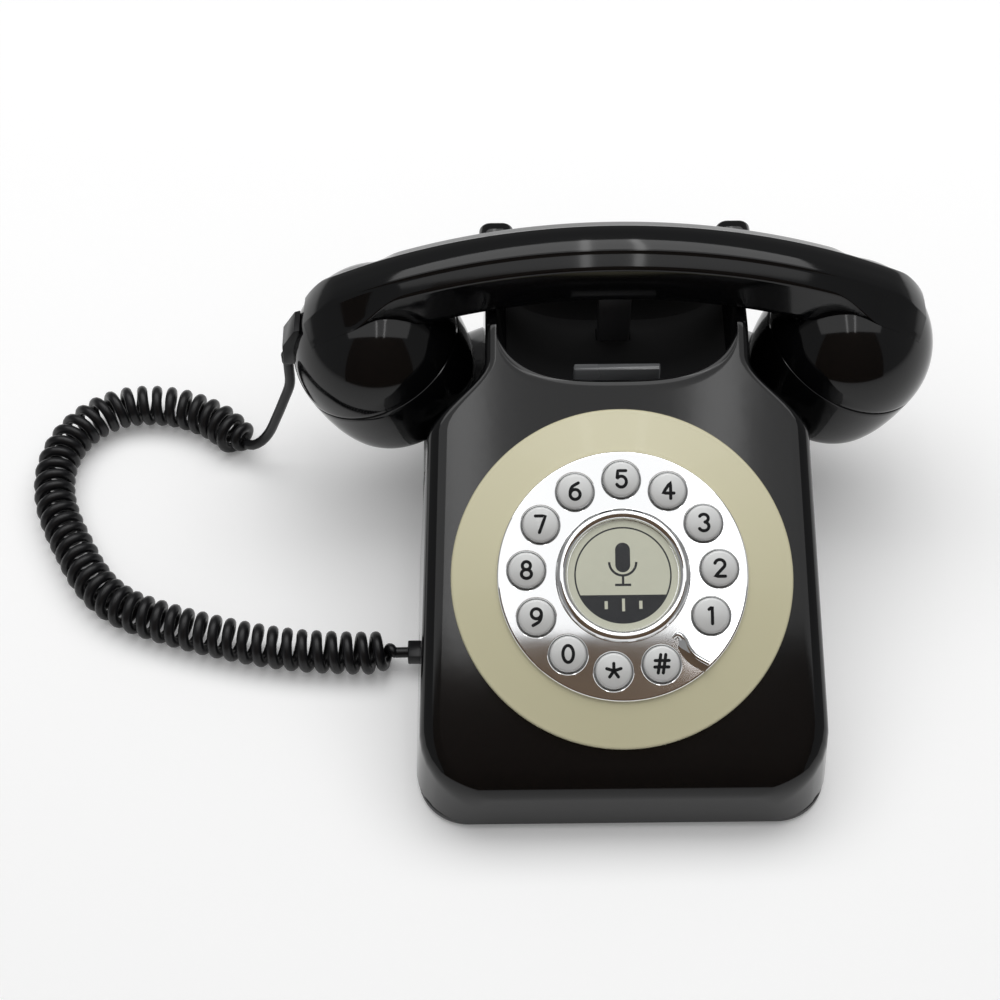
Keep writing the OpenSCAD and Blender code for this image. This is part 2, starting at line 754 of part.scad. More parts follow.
// The handle's ends are rounded by a ball a little larger than the bowl
module handle() {
    difference() {
        about_arc(end_angle)
            handle_section();
        for (side = [-1, 1]) {
            under_seam(side);
            difference() {
                translate([side * (cup_x + end_in + handset_len / 2), handset_y, cup_z])
                    cube(handset_len, center = true);
                translate([side * (cup_x - end_in), handset_y, cup_z + end_up])
                    sphere(cup_r + end_rise, $fn = 120);
            }
        }
    }
}
module bowl_room(side) {
    at_cup(side) {
        translate([0, 0, -1])
            cylinder(r = spigot_r + seat_gap, h = spigot_h + flange_t + 1);
        cylinder(r = pocket_r + seat_gap, h = spigot_h + flange_t + pocket_h);
    }
}
channel_low = under_r + 4.5;
channel_h = 11;
channel_w = 11;
channel_angle = asin(cup_x * 0.75 / arc_r);
module handset_shell() {
    color([0.03, 0.03, 0.035])
        difference() {
            union() {
                handle();
                bowl(-1);
                bowl(1);
            }
            bowl_room(-1);
            bowl_room(1);
            about_arc(channel_angle)
                translate([channel_low, -channel_w / 2])
                    square([channel_h, channel_w]);
            translate([-handset_len, handset_y - gland_w / 2 - seat_gap, gland_low - seat_gap])
                cube([handset_len - gland_in, gland_w + 2 * seat_gap, gland_top - gland_low + 2 * seat_gap]);
        }
}

// Screw cap with a spigot in the bowl, a shadow line at the seam and sound holes in its face
module cap_form(side, ring_r, ring_n) {
    face = -cap_h;
    color([0.03, 0.03, 0.035])
        at_cup(side)
            difference() {
                rotate_extrude($fn = 120)
                    polygon(concat([[spigot_r - spigot_t, spigot_h], [spigot_r, spigot_h], [spigot_r, 0],
                        [cup_r - 0.6, 0], [cup_r - 0.6, -0.8], [cup_r, -1.3]],
                        [for (p = cap_side) [cup_r - p[0], -p[1] * cap_h]],
                        [[face_r, face], [face_r - 3, face + 0.4], [0, face + 1.2], [0, face + 4],
                        [face_r - 3, face + 3.4], [face_r + 1, face + 4.4], [face_r + 3, face * 0.7],
                        [spigot_r - spigot_t, face * 0.35]]));
                translate([0, 0, face - 1])
                    cylinder(r = 1.5, h = 8, $fn = 24);
                for (a = [0 : 360 / ring_n : 359])
                    rotate(a)
                        translate([ring_r, 0, face - 1])
                            cylinder(r = 1.5, h = 8, $fn = 24);
            }
}
module earpiece_cap() cap_form(1, 8, 6);
module mouthpiece_cap() cap_form(-1, 10, 8);

// Capsule with a flange between the cap's spigot and the bowl's ledge
module capsule_form(side, len) {
    at_cup(side)
        translate([0, 0, spigot_h]) {
            cylinder(r = spigot_r - 0.2, h = flange_t);
            cylinder(r = pocket_r - 0.1, h = len);
        }
}
module receiver_capsule() color([0.3, 0.3, 0.32]) capsule_form(1, pocket_h - 1);
module microphone_capsule() color([0.3, 0.3, 0.32]) capsule_form(-1, pocket_h - 3);

// Steel bar lying in the handle's channel
module handset_weight() {
    color([0.5, 0.5, 0.52])
        about_arc(asin(30 / arc_r))
            translate([channel_low + seat_gap, -channel_w / 2 + seat_gap])
                square([channel_h - 3, channel_w - 2 * seat_gap]);
}

// Wedge-shaped strain relief on the end of the mouthpiece bowl, with a round boot below
module handset_gland() {
    out = handset_len / 2 + 3.2;
    color([0.06, 0.06, 0.065])
        translate([0, handset_y, 0]) {
            translate([0, gland_w / 2, 0])
                rotate([90, 0, 0])
                    linear_extrude(gland_w)
                        polygon([[-gland_in - seat_gap, gland_low], [-gland_in - seat_gap, gland_top],
                            [-gland_in - 2.4, gland_top - 0.8], [-out, gland_top - 9],
                            [-out - 0.3, gland_low + 1], [-out + 0.6, gland_low]]);
            translate([lead_x, 0, lead_top])
                cylinder(r = boot_r, h = gland_low - lead_top);
        }
}

// Route of the cord: down from the handset, along the table and into the left side
lead_gap = 0.15;
route = [[-121, 63.7, 64], [-121, 63.7, 60], [-122, 63.9, 52], [-125, 64.5, 42], [-129, 65.3, 30],
    [-133, 66.2, 19], [-137.5, 66.2, 12.5], [-142.5, 68, 9], [-149.5, 74.5, 8.3], [-157, 81, 8.2],
    [-170, 87, 8.2], [-183, 89, 8.2], [-195, 87.5, 8.2], [-206, 81, 8.2], [-214, 70.5, 8.2],
    [-217.5, 57, 8.2], [-216.5, 43, 8.2], [-212, 30, 8.2], [-206, 18, 8.2], [-200, 7, 8.2],
    [-192.5, -2.5, 8.2], [-183, -9.5, 8.2], [-170, -15, 8.2], [-155, -20, 8.2], [-136, -25, 8.2],
    [-117, -28.3, 8.2], [-98, -29.6, 8.2], [-86, -29.6, 8.2], [-81.5, -29.6, 8.2], [-77.3, -29.6, 8.2]];
coil_from = 7;
coil_to = 28;
sub = 8;
function spline(p, i, t) = let (
        a = p[max(i - 1, 0)], b = p[i], c = p[i + 1], d = p[min(i + 2, len(p) - 1)])
    0.5 * (2 * b + (c - a) * t + (2 * a - 5 * b + 4 * c - d) * t * t + (3 * b - a - 3 * c + d) * t * t * t);
fixed_route = [for (i = [0 : len(route) - 1]) i == 0 ? [lead_x, handset_y, lead_top - lead_gap]
    : i == 1 ? [lead_x, handset_y, lead_top - cord_d - 0.4]
    : i == len(route) - 1 ? [plug_end, jack_y, jack_z] : route[i]];
line = concat([for (i = [0 : len(route) - 2], k = [0 : sub - 1]) spline(fixed_route, i, k / sub)],
    [fixed_route[len(route) - 1]]);
run = [for (i = 0, s = 0; i < len(line); i = i + 1,
    s = i < len(line) ? s + norm(line[i] - line[i - 1]) : s) s];
function along(s) = [for (k = [0 : 2]) lookup(s, [for (i = [0 : len(line) - 1]) [run[i], line[i][k]]])];
coil_a = run[coil_from * sub];
coil_b = run[coil_to * sub];
pitch = (coil_b - coil_a) / curls;
marks = concat([for (i = [0 : 9]) coil_a * i / 10], [for (i = [0 : curls * 8]) coil_a + pitch * i / 8],
    [for (i = [1 : 3]) mix(coil_b, run[len(run) - 1], i / 3)]);
axis = [for (s = marks) along(s)];
heads = [for (i = [0 : len(axis) - 1]) unit(axis[min(i + 1, len(axis) - 1)] - axis[max(i - 1, 0)])];
// A side direction carried along the route without twist
sides = [for (i = 0, v = unit([0, 1, 0] - heads[0][1] * heads[0]); i < len(axis); i = i + 1,
    v = i < len(axis) ? unit(v - (v * heads[i]) * heads[i]) : v) v];
function curl_at(s) = curl_r * ease((s - coil_a) / (1.2 * pitch)) * ease((coil_b - s) / (1.2 * pitch));
function turn_at(s) = 360 * max(0, min(coil_b, s) - coil_a) / pitch;
radials = [for (i = [0 : len(axis) - 1]) let (a = turn_at(marks[i]))
    cos(a) * sides[i] + sin(a) * cross(heads[i], sides[i])];
strand = [for (i = [0 : len(axis) - 1]) axis[i] + curl_at(marks[i]) * radials[i]];
strand_gap = min([for (i = [10 : len(strand) - 16], j = [i + 5 : i + 11]) norm(strand[i] - strand[j])])
    - cord_d;
function path_len(p, i = 1) = i < len(p) ? norm(p[i] - p[i - 1]) + path_len(p, i + 1) : 0;
module handset_cord() {
    echo(cord_gap = strand_gap, cord_length = path_len(strand), curl_pitch = pitch);
    color([0.04, 0.04, 0.04])
        tube(strand, radials, cord_d / 2);
}

upper_housing();
base_plate();
rubber_feet();
base_screws();
ballast_plate();
main_board();
battery_pack();
usb_port();
hook_switch();
plunger_spring();
hook_plunger();
hook_lever();
cord_jack();
cord_plug();
dial_bezel();
dial_plate();
finger_stop();
centre_ring();
centre_card();
centre_lens();
keypad_mat();
keypad_board();
keypad_screws();
key_1();
key_2();
key_3();
key_4();
key_5();
key_6();
key_7();
key_8();
key_9();
key_0();
key_star();
key_hash();
handset_shell();
earpiece_cap();
mouthpiece_cap();
receiver_capsule();
microphone_capsule();
handset_weight();
handset_gland();
handset_cord();
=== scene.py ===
"""Desk telephone with a ring of push buttons, a lift-off handset and a curly cord, set in a studio."""

import json
import logging
import math
from contextlib import contextmanager
from dataclasses import dataclass, replace
from enum import Enum
from itertools import product
from typing import Iterator, NamedTuple, Sequence, Union

import bmesh
import bpy
from mathutils import Matrix, Vector

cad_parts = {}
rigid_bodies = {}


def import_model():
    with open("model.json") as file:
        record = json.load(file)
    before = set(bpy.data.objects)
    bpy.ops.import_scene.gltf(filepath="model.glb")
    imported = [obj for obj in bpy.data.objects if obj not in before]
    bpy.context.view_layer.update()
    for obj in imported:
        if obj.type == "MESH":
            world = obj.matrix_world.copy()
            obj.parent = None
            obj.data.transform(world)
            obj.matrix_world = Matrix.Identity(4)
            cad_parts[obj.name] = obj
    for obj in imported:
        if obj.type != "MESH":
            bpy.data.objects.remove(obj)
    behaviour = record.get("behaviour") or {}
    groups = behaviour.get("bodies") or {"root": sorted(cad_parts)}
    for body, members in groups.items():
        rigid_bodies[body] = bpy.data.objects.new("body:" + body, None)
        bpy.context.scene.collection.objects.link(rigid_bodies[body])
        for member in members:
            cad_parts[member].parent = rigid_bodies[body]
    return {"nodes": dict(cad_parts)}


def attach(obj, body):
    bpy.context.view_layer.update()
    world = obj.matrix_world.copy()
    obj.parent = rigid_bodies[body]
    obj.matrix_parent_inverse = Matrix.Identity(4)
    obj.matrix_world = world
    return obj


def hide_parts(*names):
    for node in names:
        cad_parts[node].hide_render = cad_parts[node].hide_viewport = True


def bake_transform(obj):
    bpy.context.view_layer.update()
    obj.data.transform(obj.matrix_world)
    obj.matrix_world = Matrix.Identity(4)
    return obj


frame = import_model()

LOG = logging.getLogger("telephone")
MM = 0.001
MERGE = 2e-6
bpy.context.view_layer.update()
Flat = tuple[float, float]
Point = tuple[float, float, float]
Colour = tuple[float, float, float]


class Body(Enum):
    """Bodies of the telephone that pieces ride on, apart from the twelve keys."""

    BASE = "base"
    HANDSET = "handset"
    HOOK = "hook"


def mix(a: float, b: float, t: float) -> float:
    """Value at share t between a and b."""
    return a + (b - a) * t


def ease(t: float) -> float:
    """Smooth step from 0 to 1."""
    c = min(max(t, 0.0), 1.0)
    return c * c * (3 - 2 * c)


def round_loss(d: float, r: float) -> float:
    """Depth lost at distance d inside a rounded edge of radius r."""
    return 0.0 if d >= r else r - math.sqrt(max(r * r - (r - d) ** 2, 0.0))


def sweep(start: float, end: float, steps: int) -> list[float]:
    """Angles in radians from start to end, which are in degrees."""
    return [math.radians(mix(start, end, i / steps)) for i in range(steps + 1)]


def turn(count: int) -> list[float]:
    """Angles in radians of an even division of the full circle."""
    return [math.tau * i / count for i in range(count)]


def heading(line: Sequence[Vector], i: int) -> Vector:
    """Direction of a line at its point i."""
    return (line[min(i + 1, len(line) - 1)] - line[max(i - 1, 0)]).normalized()


def curve(points: Sequence[Sequence[float]], steps: int) -> list[tuple[float, ...]]:
    """Smooth line through points.

    Args:
        points: Corners, of any number of coordinates.
        steps: Steps between two corners.

    Returns:
        The points of the line.
    """
    line = []
    last = len(points) - 1
    for i in range(last):
        a, b, c, d = points[max(i - 1, 0)], points[i], points[i + 1], points[min(i + 2, last)]
        for t in (k / steps for k in range(steps)):
            line.append(tuple(0.5 * (2 * q + (r - p) * t + (2 * p - 5 * q + 4 * r - s) * t * t
                                     + (3 * q - p - 3 * r + s) * t ** 3) for p, q, r, s in zip(a, b, c, d)))
    return line + [tuple(points[last])]


def rounded(corners: Sequence[Point], steps: int = 6) -> list[Flat]:
    """Closed outline with its corners rounded.

    Args:
        corners: Place of each corner and the length that is cut off beside it.
        steps: Steps of each rounding.

    Returns:
        The points of the outline.
    """
    most = 0.45
    line = []
    for i, (x, y, cut) in enumerate(corners):
        p = Vector((x, y))
        ends = []
        for q in (corners[i - 1], corners[(i + 1) % len(corners)]):
            way = Vector(q[:2]) - p
            ends.append(p + way.normalized() * min(cut, most * way.length))
        for t in (k / steps for k in range(steps + 1)):
            spot = ends[0] * (1 - t) ** 2 + p * 2 * t * (1 - t) + ends[1] * t * t
            line.append((spot.x, spot.y))
    return line


def show(name: str, data: bpy.types.ID) -> bpy.types.Object:
    """Adds an object to the scene.

    Args:
        name: Its name.
        data: Its mesh, light or camera.

    Returns:
        The object, at the origin.
    """
    made = bpy.data.objects.new(name, data)
    bpy.context.scene.collection.objects.link(made)
    return made


@contextmanager
def edited(mesh: bpy.types.Mesh) -> Iterator[bmesh.types.BMesh]:
    """Opens a mesh with its doubles merged and writes it back.

    Args:
        mesh: The mesh.

    Yields:
        Its editable form.
    """
    work = bmesh.new()
    work.from_mesh(mesh)
    bmesh.ops.remove_doubles(work, verts=work.verts, dist=MERGE)
    yield work
    work.to_mesh(mesh)
    work.free()


class Value:
    """A shader socket that takes part in arithmetic."""

    def __init__(self, graph: "Graph", socket: bpy.types.NodeSocket) -> None:
        """Keeps the socket and the graph that owns it."""
        self.graph = graph
        self.socket = socket

    def _math(self, operation: str, first: "Operand", second: "Operand" = 0.0) -> "Value":
        """Adds one Math node.

        Args:
            operation: Blender's name of the operation.
            first: First operand.
            second: Second operand.

        Returns:
            The node's result.
        """
        return self.graph.node("ShaderNodeMath", {"operation": operation}, {0: first, 1: second})

    def __add__(self, other: "Operand") -> "Value":
        """Sum."""
        return self._math("ADD", self, other)

    __radd__ = __add__

    def __sub__(self, other: "Operand") -> "Value":
        """Difference."""
        return self._math("SUBTRACT", self, other)

    def __rsub__(self, other: "Operand") -> "Value":
        """Difference from a number."""
        return self._math("SUBTRACT", other, self)

    def __mul__(self, other: "Operand") -> "Value":
        """Product."""
        return self._math("MULTIPLY", self, other)

    __rmul__ = __mul__

    def root(self) -> "Value":
        """Square root."""
        return self._math("SQRT", self)

    def size(self) -> "Value":
        """Absolute value."""
        return self._math("ABSOLUTE", self)

    def at_least(self, other: "Operand") -> "Value":
        """Larger of the two."""
        return self._math("MAXIMUM", self, other)

    def below(self, edge: float, soft: float) -> "Value":
        """Mask that is 1 below an edge.

        Args:
            edge: Value at the middle of the edge.
            soft: Width of the edge.

        Returns:
            The mask, from 0 to 1.
        """
        return self.graph.node("ShaderNodeMapRange", {"interpolation_type": "SMOOTHSTEP"},
                               {0: self, 1: edge - soft / 2, 2: edge + soft / 2, 3: 1.0, 4: 0.0})

    def near(self, middle: float, reach: float, soft: float) -> "Value":
        """Mask that is 1 within reach of a middle value, with an edge of the given width."""
        return (self - middle).size().below(reach, soft)


Operand = Union[Value, float]


class Graph:
    """Node graph of one material."""

    def __init__(self, name: str) -> None:
        """Makes an empty material with its output node.

        Args:
            name: Name of the material.
        """
        self.material = bpy.data.materials.new(name)
        self.material.use_nodes = True
        self.tree = self.material.node_tree
        self.tree.nodes.clear()
        self.output = self.tree.nodes.new("ShaderNodeOutputMaterial")

    def add(self, kind: str, settings: dict, inputs: dict) -> bpy.types.Node:
        """Adds a node.

        Args:
            kind: Blender's node type.
            settings: Properties that are set first.
            inputs: Socket name or index to a number, a colour or a Value.

        Returns:
            The node.
        """
        made = self.tree.nodes.new(kind)
        for name, setting in settings.items():
            setattr(made, name, setting)
        for key, given in inputs.items():
            if isinstance(given, Value):
                self.tree.links.new(given.socket, made.inputs[key])
            else:
                made.inputs[key].default_value = given
        return made

    def node(self, kind: str, settings: dict, inputs: dict, out: Union[int, str] = 0) -> Value:
        """Adds a node and returns one of its outputs as a Value."""
        return Value(self, self.add(kind, settings, inputs).outputs[out])

    def parts(self, vector: Value) -> list[Value]:
        """X, Y and Z of a vector."""
        split = self.add("ShaderNodeSeparateXYZ", {}, {0: vector})
        return [Value(self, out) for out in split.outputs]

    def place(self) -> Value:
        """Object coordinates, in metres."""
        return self.node("ShaderNodeTexCoord", {}, {}, "Object")

    def noise(self, scale: float, detail: float = 2.0, stretch: Point = (1, 1, 1)) -> Value:
        """Noise pattern on object coordinates.

        Args:
            scale: Waves per metre.
            detail: Octaves.
            stretch: Scale of the pattern along each axis.

        Returns:
            The pattern, about 0 to 1.
        """
        where = self.node("ShaderNodeMapping", {}, {"Vector": self.place(), "Scale": stretch})
        return self.node("ShaderNodeTexNoise", {}, {"Vector": where, "Scale": scale, "Detail": detail})

    def colours(self, a: Union[Value, Colour], b: Union[Value, Colour], share: Operand) -> Value:
        """Colour between a and b."""
        sides = {name: side if isinstance(side, Value) else (*side, 1.0) for name, side in ((6, a), (7, b))}
        return self.node("ShaderNodeMix", {"data_type": "RGBA"}, {0: share, **sides}, 2)

    def bump(self, height: Value, depth: float) -> Value:
        """Normal bent by a height pattern of the given depth in metres."""
        return self.node("ShaderNodeBump", {}, {"Height": height, "Distance": depth})

    def end(self, shader: Value) -> bpy.types.Material:
        """Ends the graph in a shader and returns its material."""
        self.tree.links.new(shader.socket, self.output.inputs[0])
        return self.material

    def principled(self, inputs: dict) -> bpy.types.Material:
        """Ends the graph in a Principled shader with the given sockets."""
        return self.end(self.node("ShaderNodeBsdfPrincipled", {}, inputs))


@dataclass(frozen=True)
class Finish:
    """A surface with a fine grain and slow changes of tone and gloss.

    Grain and patch are waves per metre, and the grain's depth is in metres. A box in millimetres, from its
    low to its high corner, can be dull.
    """

    name: str
    colour: Colour
    tone: Colour
    roughness: float
    gloss_spread: float = 0.04
    metallic: float = 0.0
    grain: float = 900.0
    grain_depth: float = 0.00002
    patch: float = 18.0
    stretch: Point = (1, 1, 1)
    coat: float = 0.0
    gleam: float = 0.5
    dull_low: Point = (0, 0, 0)
    dull_high: Point = (0, 0, 0)
    dull_edge: float = 1.0
    dull_roughness: float = 0.9

    def dull(self, g: Graph) -> Value:
        """Mask of the dull box.

        Args:
            g: Graph of the finish.

        Returns:
            1 inside the box and 0 outside.
        """
        x, y, z = (along.near((low + high) / 2 * MM, (high - low) / 2 * MM, self.dull_edge * MM)
                   for along, low, high in zip(g.parts(g.place()), self.dull_low, self.dull_high))
        return x * y * z

    def make(self) -> bpy.types.Material:
        """Builds the material.

        Returns:
            The material.
        """
        g = Graph(self.name)
        slow = g.noise(self.patch, 3.0)
        grain = g.noise(self.grain, 2.0, self.stretch)
        rough = self.roughness + (slow - 0.5) * (2 * self.gloss_spread)
        if self.dull_low != self.dull_high:
            rough = rough + self.dull(g) * (self.dull_roughness - self.roughness)
        return g.principled({
            "Base Color": g.colours(self.colour, self.tone, slow),
            "Roughness": rough,
            "Metallic": self.metallic,
            "Coat Weight": self.coat,
            "Specular IOR Level": self.gleam,
            "Normal": g.bump(grain, self.grain_depth)})


@dataclass(frozen=True)
class CardPrint:
    """Printed card: cream ground, thin ring, dark lower segment and a plain microphone sign.

    The design is in millimetres from the card's centre. Lines, slit, bars and foot have half widths.
    """

    name: str
    centre: Point
    slope: float
    ring: float = 16.65
    ring_line: float = 0.28
    segment: float = 6.9
    segment_gap: float = 0.1
    slit_y: float = -10.4
    slit: Flat = (0.5, 2.2)
    bar_x: float = 6.0
    bar: Flat = (0.55, 1.4)
    stroke: float = 0.42
    head_y: float = 6.2
    head_r: float = 2.6
    bow_y: float = 4.6
    bow_r: float = 4.7
    stem: float = 3.4
    foot: float = 2.8
    soft: float = 0.12
    ground: Colour = (0.74, 0.73, 0.60)
    shade: Colour = (0.69, 0.68, 0.56)
    ink: Colour = (0.012, 0.013, 0.018)
    roughness: float = 0.45
    mottle: float = 400.0
    grain: float = 2600.0
    grain_depth: float = 0.000006

    def design(self, x: Value, y: Value) -> Value:
        """Mask of the printed ink.

        Args:
            x: Place across the card.
            y: Place up the card.

        Returns:
            1 on the ink and 0 on the ground.
        """
        soft = self.soft
        far = (x * x + y * y).root()
        rise = ((y - self.head_y).size() - self.head_r).at_least(0.0)
        bow = (x * x + (y - self.bow_y) * (y - self.bow_y)).root()
        slit = x.near(0.0, self.slit[0], soft) * y.near(self.slit_y, self.slit[1], soft)
        bars = x.size().near(self.bar_x, self.bar[0], soft) * y.near(self.slit_y, self.bar[1], soft)
        segment = y.below(-self.segment, soft) * far.below(self.ring - self.segment_gap, soft)
        ink = segment * (1 - slit) * (1 - bars)
        for mark in (far.near(self.ring, self.ring_line, soft),
                     (x * x + rise * rise).root().below(self.head_r, soft),
                     bow.near(self.bow_r, self.stroke, soft) * y.below(self.bow_y, soft),
                     x.near(0.0, self.stroke, soft) * y.near(-self.stem / 2, self.stem / 2, soft),
                     x.near(0.0, self.foot, soft) * y.near(-self.stem, self.stroke, soft)):
            ink = ink.at_least(mark)
        return ink

    def make(self) -> bpy.types.Material:
        """Builds the material on the dial's own plane.

        Returns:
            The material.
        """
        g = Graph(self.name)
        flat = g.node("ShaderNodeMapping", {"vector_type": "TEXTURE"}, {
            "Vector": g.place(), "Location": tuple(c * MM for c in self.centre),
            "Rotation": (math.radians(self.slope), 0, 0), "Scale": (MM, MM, MM)})
        x, y, _ = g.parts(flat)
        ground = g.colours(self.ground, self.shade, g.noise(self.mottle, 4.0))
        return g.principled({
            "Base Color": g.colours(ground, self.ink, self.design(x, y)),
            "Roughness": self.roughness,
            "Normal": g.bump(g.noise(self.grain), self.grain_depth)})


@dataclass(frozen=True)
class ClearCover:
    """Clear plastic that shows what lies under it, with a thin, uneven gloss."""

    name: str
    tint: Colour = (0.97, 0.975, 0.97)
    gloss: Colour = (0.2, 0.2, 0.2)
    roughness: float = 0.05
    wave: float = 120.0
    wave_depth: float = 0.00001
    least: float = 0.01
    haze: float = 0.03
    haze_patch: float = 60.0

    def make(self) -> bpy.types.Material:
        """Builds the material.

        Returns:
            The material.
        """
        g = Graph(self.name)
        clear = g.node("ShaderNodeBsdfTransparent", {}, {0: (*self.tint, 1)})
        gloss = g.node("ShaderNodeBsdfPrincipled", {}, {
            "Base Color": (*self.gloss, 1), "Roughness": self.roughness,
            "Normal": g.bump(g.noise(self.wave), self.wave_depth)})
        share = self.least + self.haze * g.noise(self.haze_patch)
        return g.end(g.node("ShaderNodeMixShader", {}, {0: share, 1: clear, 2: gloss}))


Look = Union[Finish, CardPrint, ClearCover]

BLACK_GLOSS = Finish("black gloss", (0.0025, 0.0026, 0.003), (0.0035, 0.0036, 0.004), 0.085, 0.02,
                     grain=140.0, grain_depth=0.000006, gleam=0.38)
CASE_BLACK = replace(BLACK_GLOSS, name="case black gloss", dull_low=(-45, 32.5, 68),
                     dull_high=(45, 84, 91.5))
BLACK_MATT = Finish("black matt", (0.022, 0.022, 0.024), (0.03, 0.03, 0.032), 0.5, 0.06,
                    grain_depth=0.00004)
CREAM = Finish("cream satin", (0.60, 0.565, 0.375), (0.63, 0.595, 0.405), 0.32, 0.04, grain=1500.0,
               grain_depth=0.000006, coat=0.15)
CHROME = Finish("mirror chrome", (0.86, 0.87, 0.88), (0.9, 0.905, 0.91), 0.05, 0.025, 1.0, grain=90.0,
                grain_depth=0.000004)
KEY_SILVER = Finish("key silver", (0.57, 0.575, 0.57), (0.61, 0.615, 0.61), 0.4, 0.05, 0.3, grain=1600.0,
                    grain_depth=0.00001, stretch=(0.12, 1, 1), coat=0.2)
KEY_INK = Finish("key ink", (0.006, 0.006, 0.007), (0.009, 0.009, 0.01), 0.6, gleam=0.15)
HOOK_GREY = Finish("hook grey", (0.105, 0.108, 0.112), (0.135, 0.138, 0.142), 0.28, 0.05, coat=0.3)
CORD_BLACK = Finish("cord black", (0.006, 0.006, 0.007), (0.01, 0.01, 0.011), 0.33, 0.06, grain=1300.0,
                    gleam=0.3)
RUBBER = Finish("foot rubber", (0.03, 0.03, 0.03), (0.045, 0.045, 0.045), 0.75, 0.05, grain_depth=0.00005)
STEEL = Finish("plated steel", (0.5, 0.5, 0.51), (0.58, 0.58, 0.59), 0.3, 0.08, 1.0, stretch=(1, 0.1, 1))
BOARD = Finish("circuit board", (0.02, 0.11, 0.05), (0.03, 0.16, 0.07), 0.4, 0.08, grain=700.0)
BATTERY = Finish("battery wrap", (0.09, 0.12, 0.2), (0.12, 0.15, 0.24), 0.35, 0.05)
MEMBRANE = Finish("grey rubber mat", (0.2, 0.2, 0.2), (0.25, 0.25, 0.25), 0.7, 0.05)


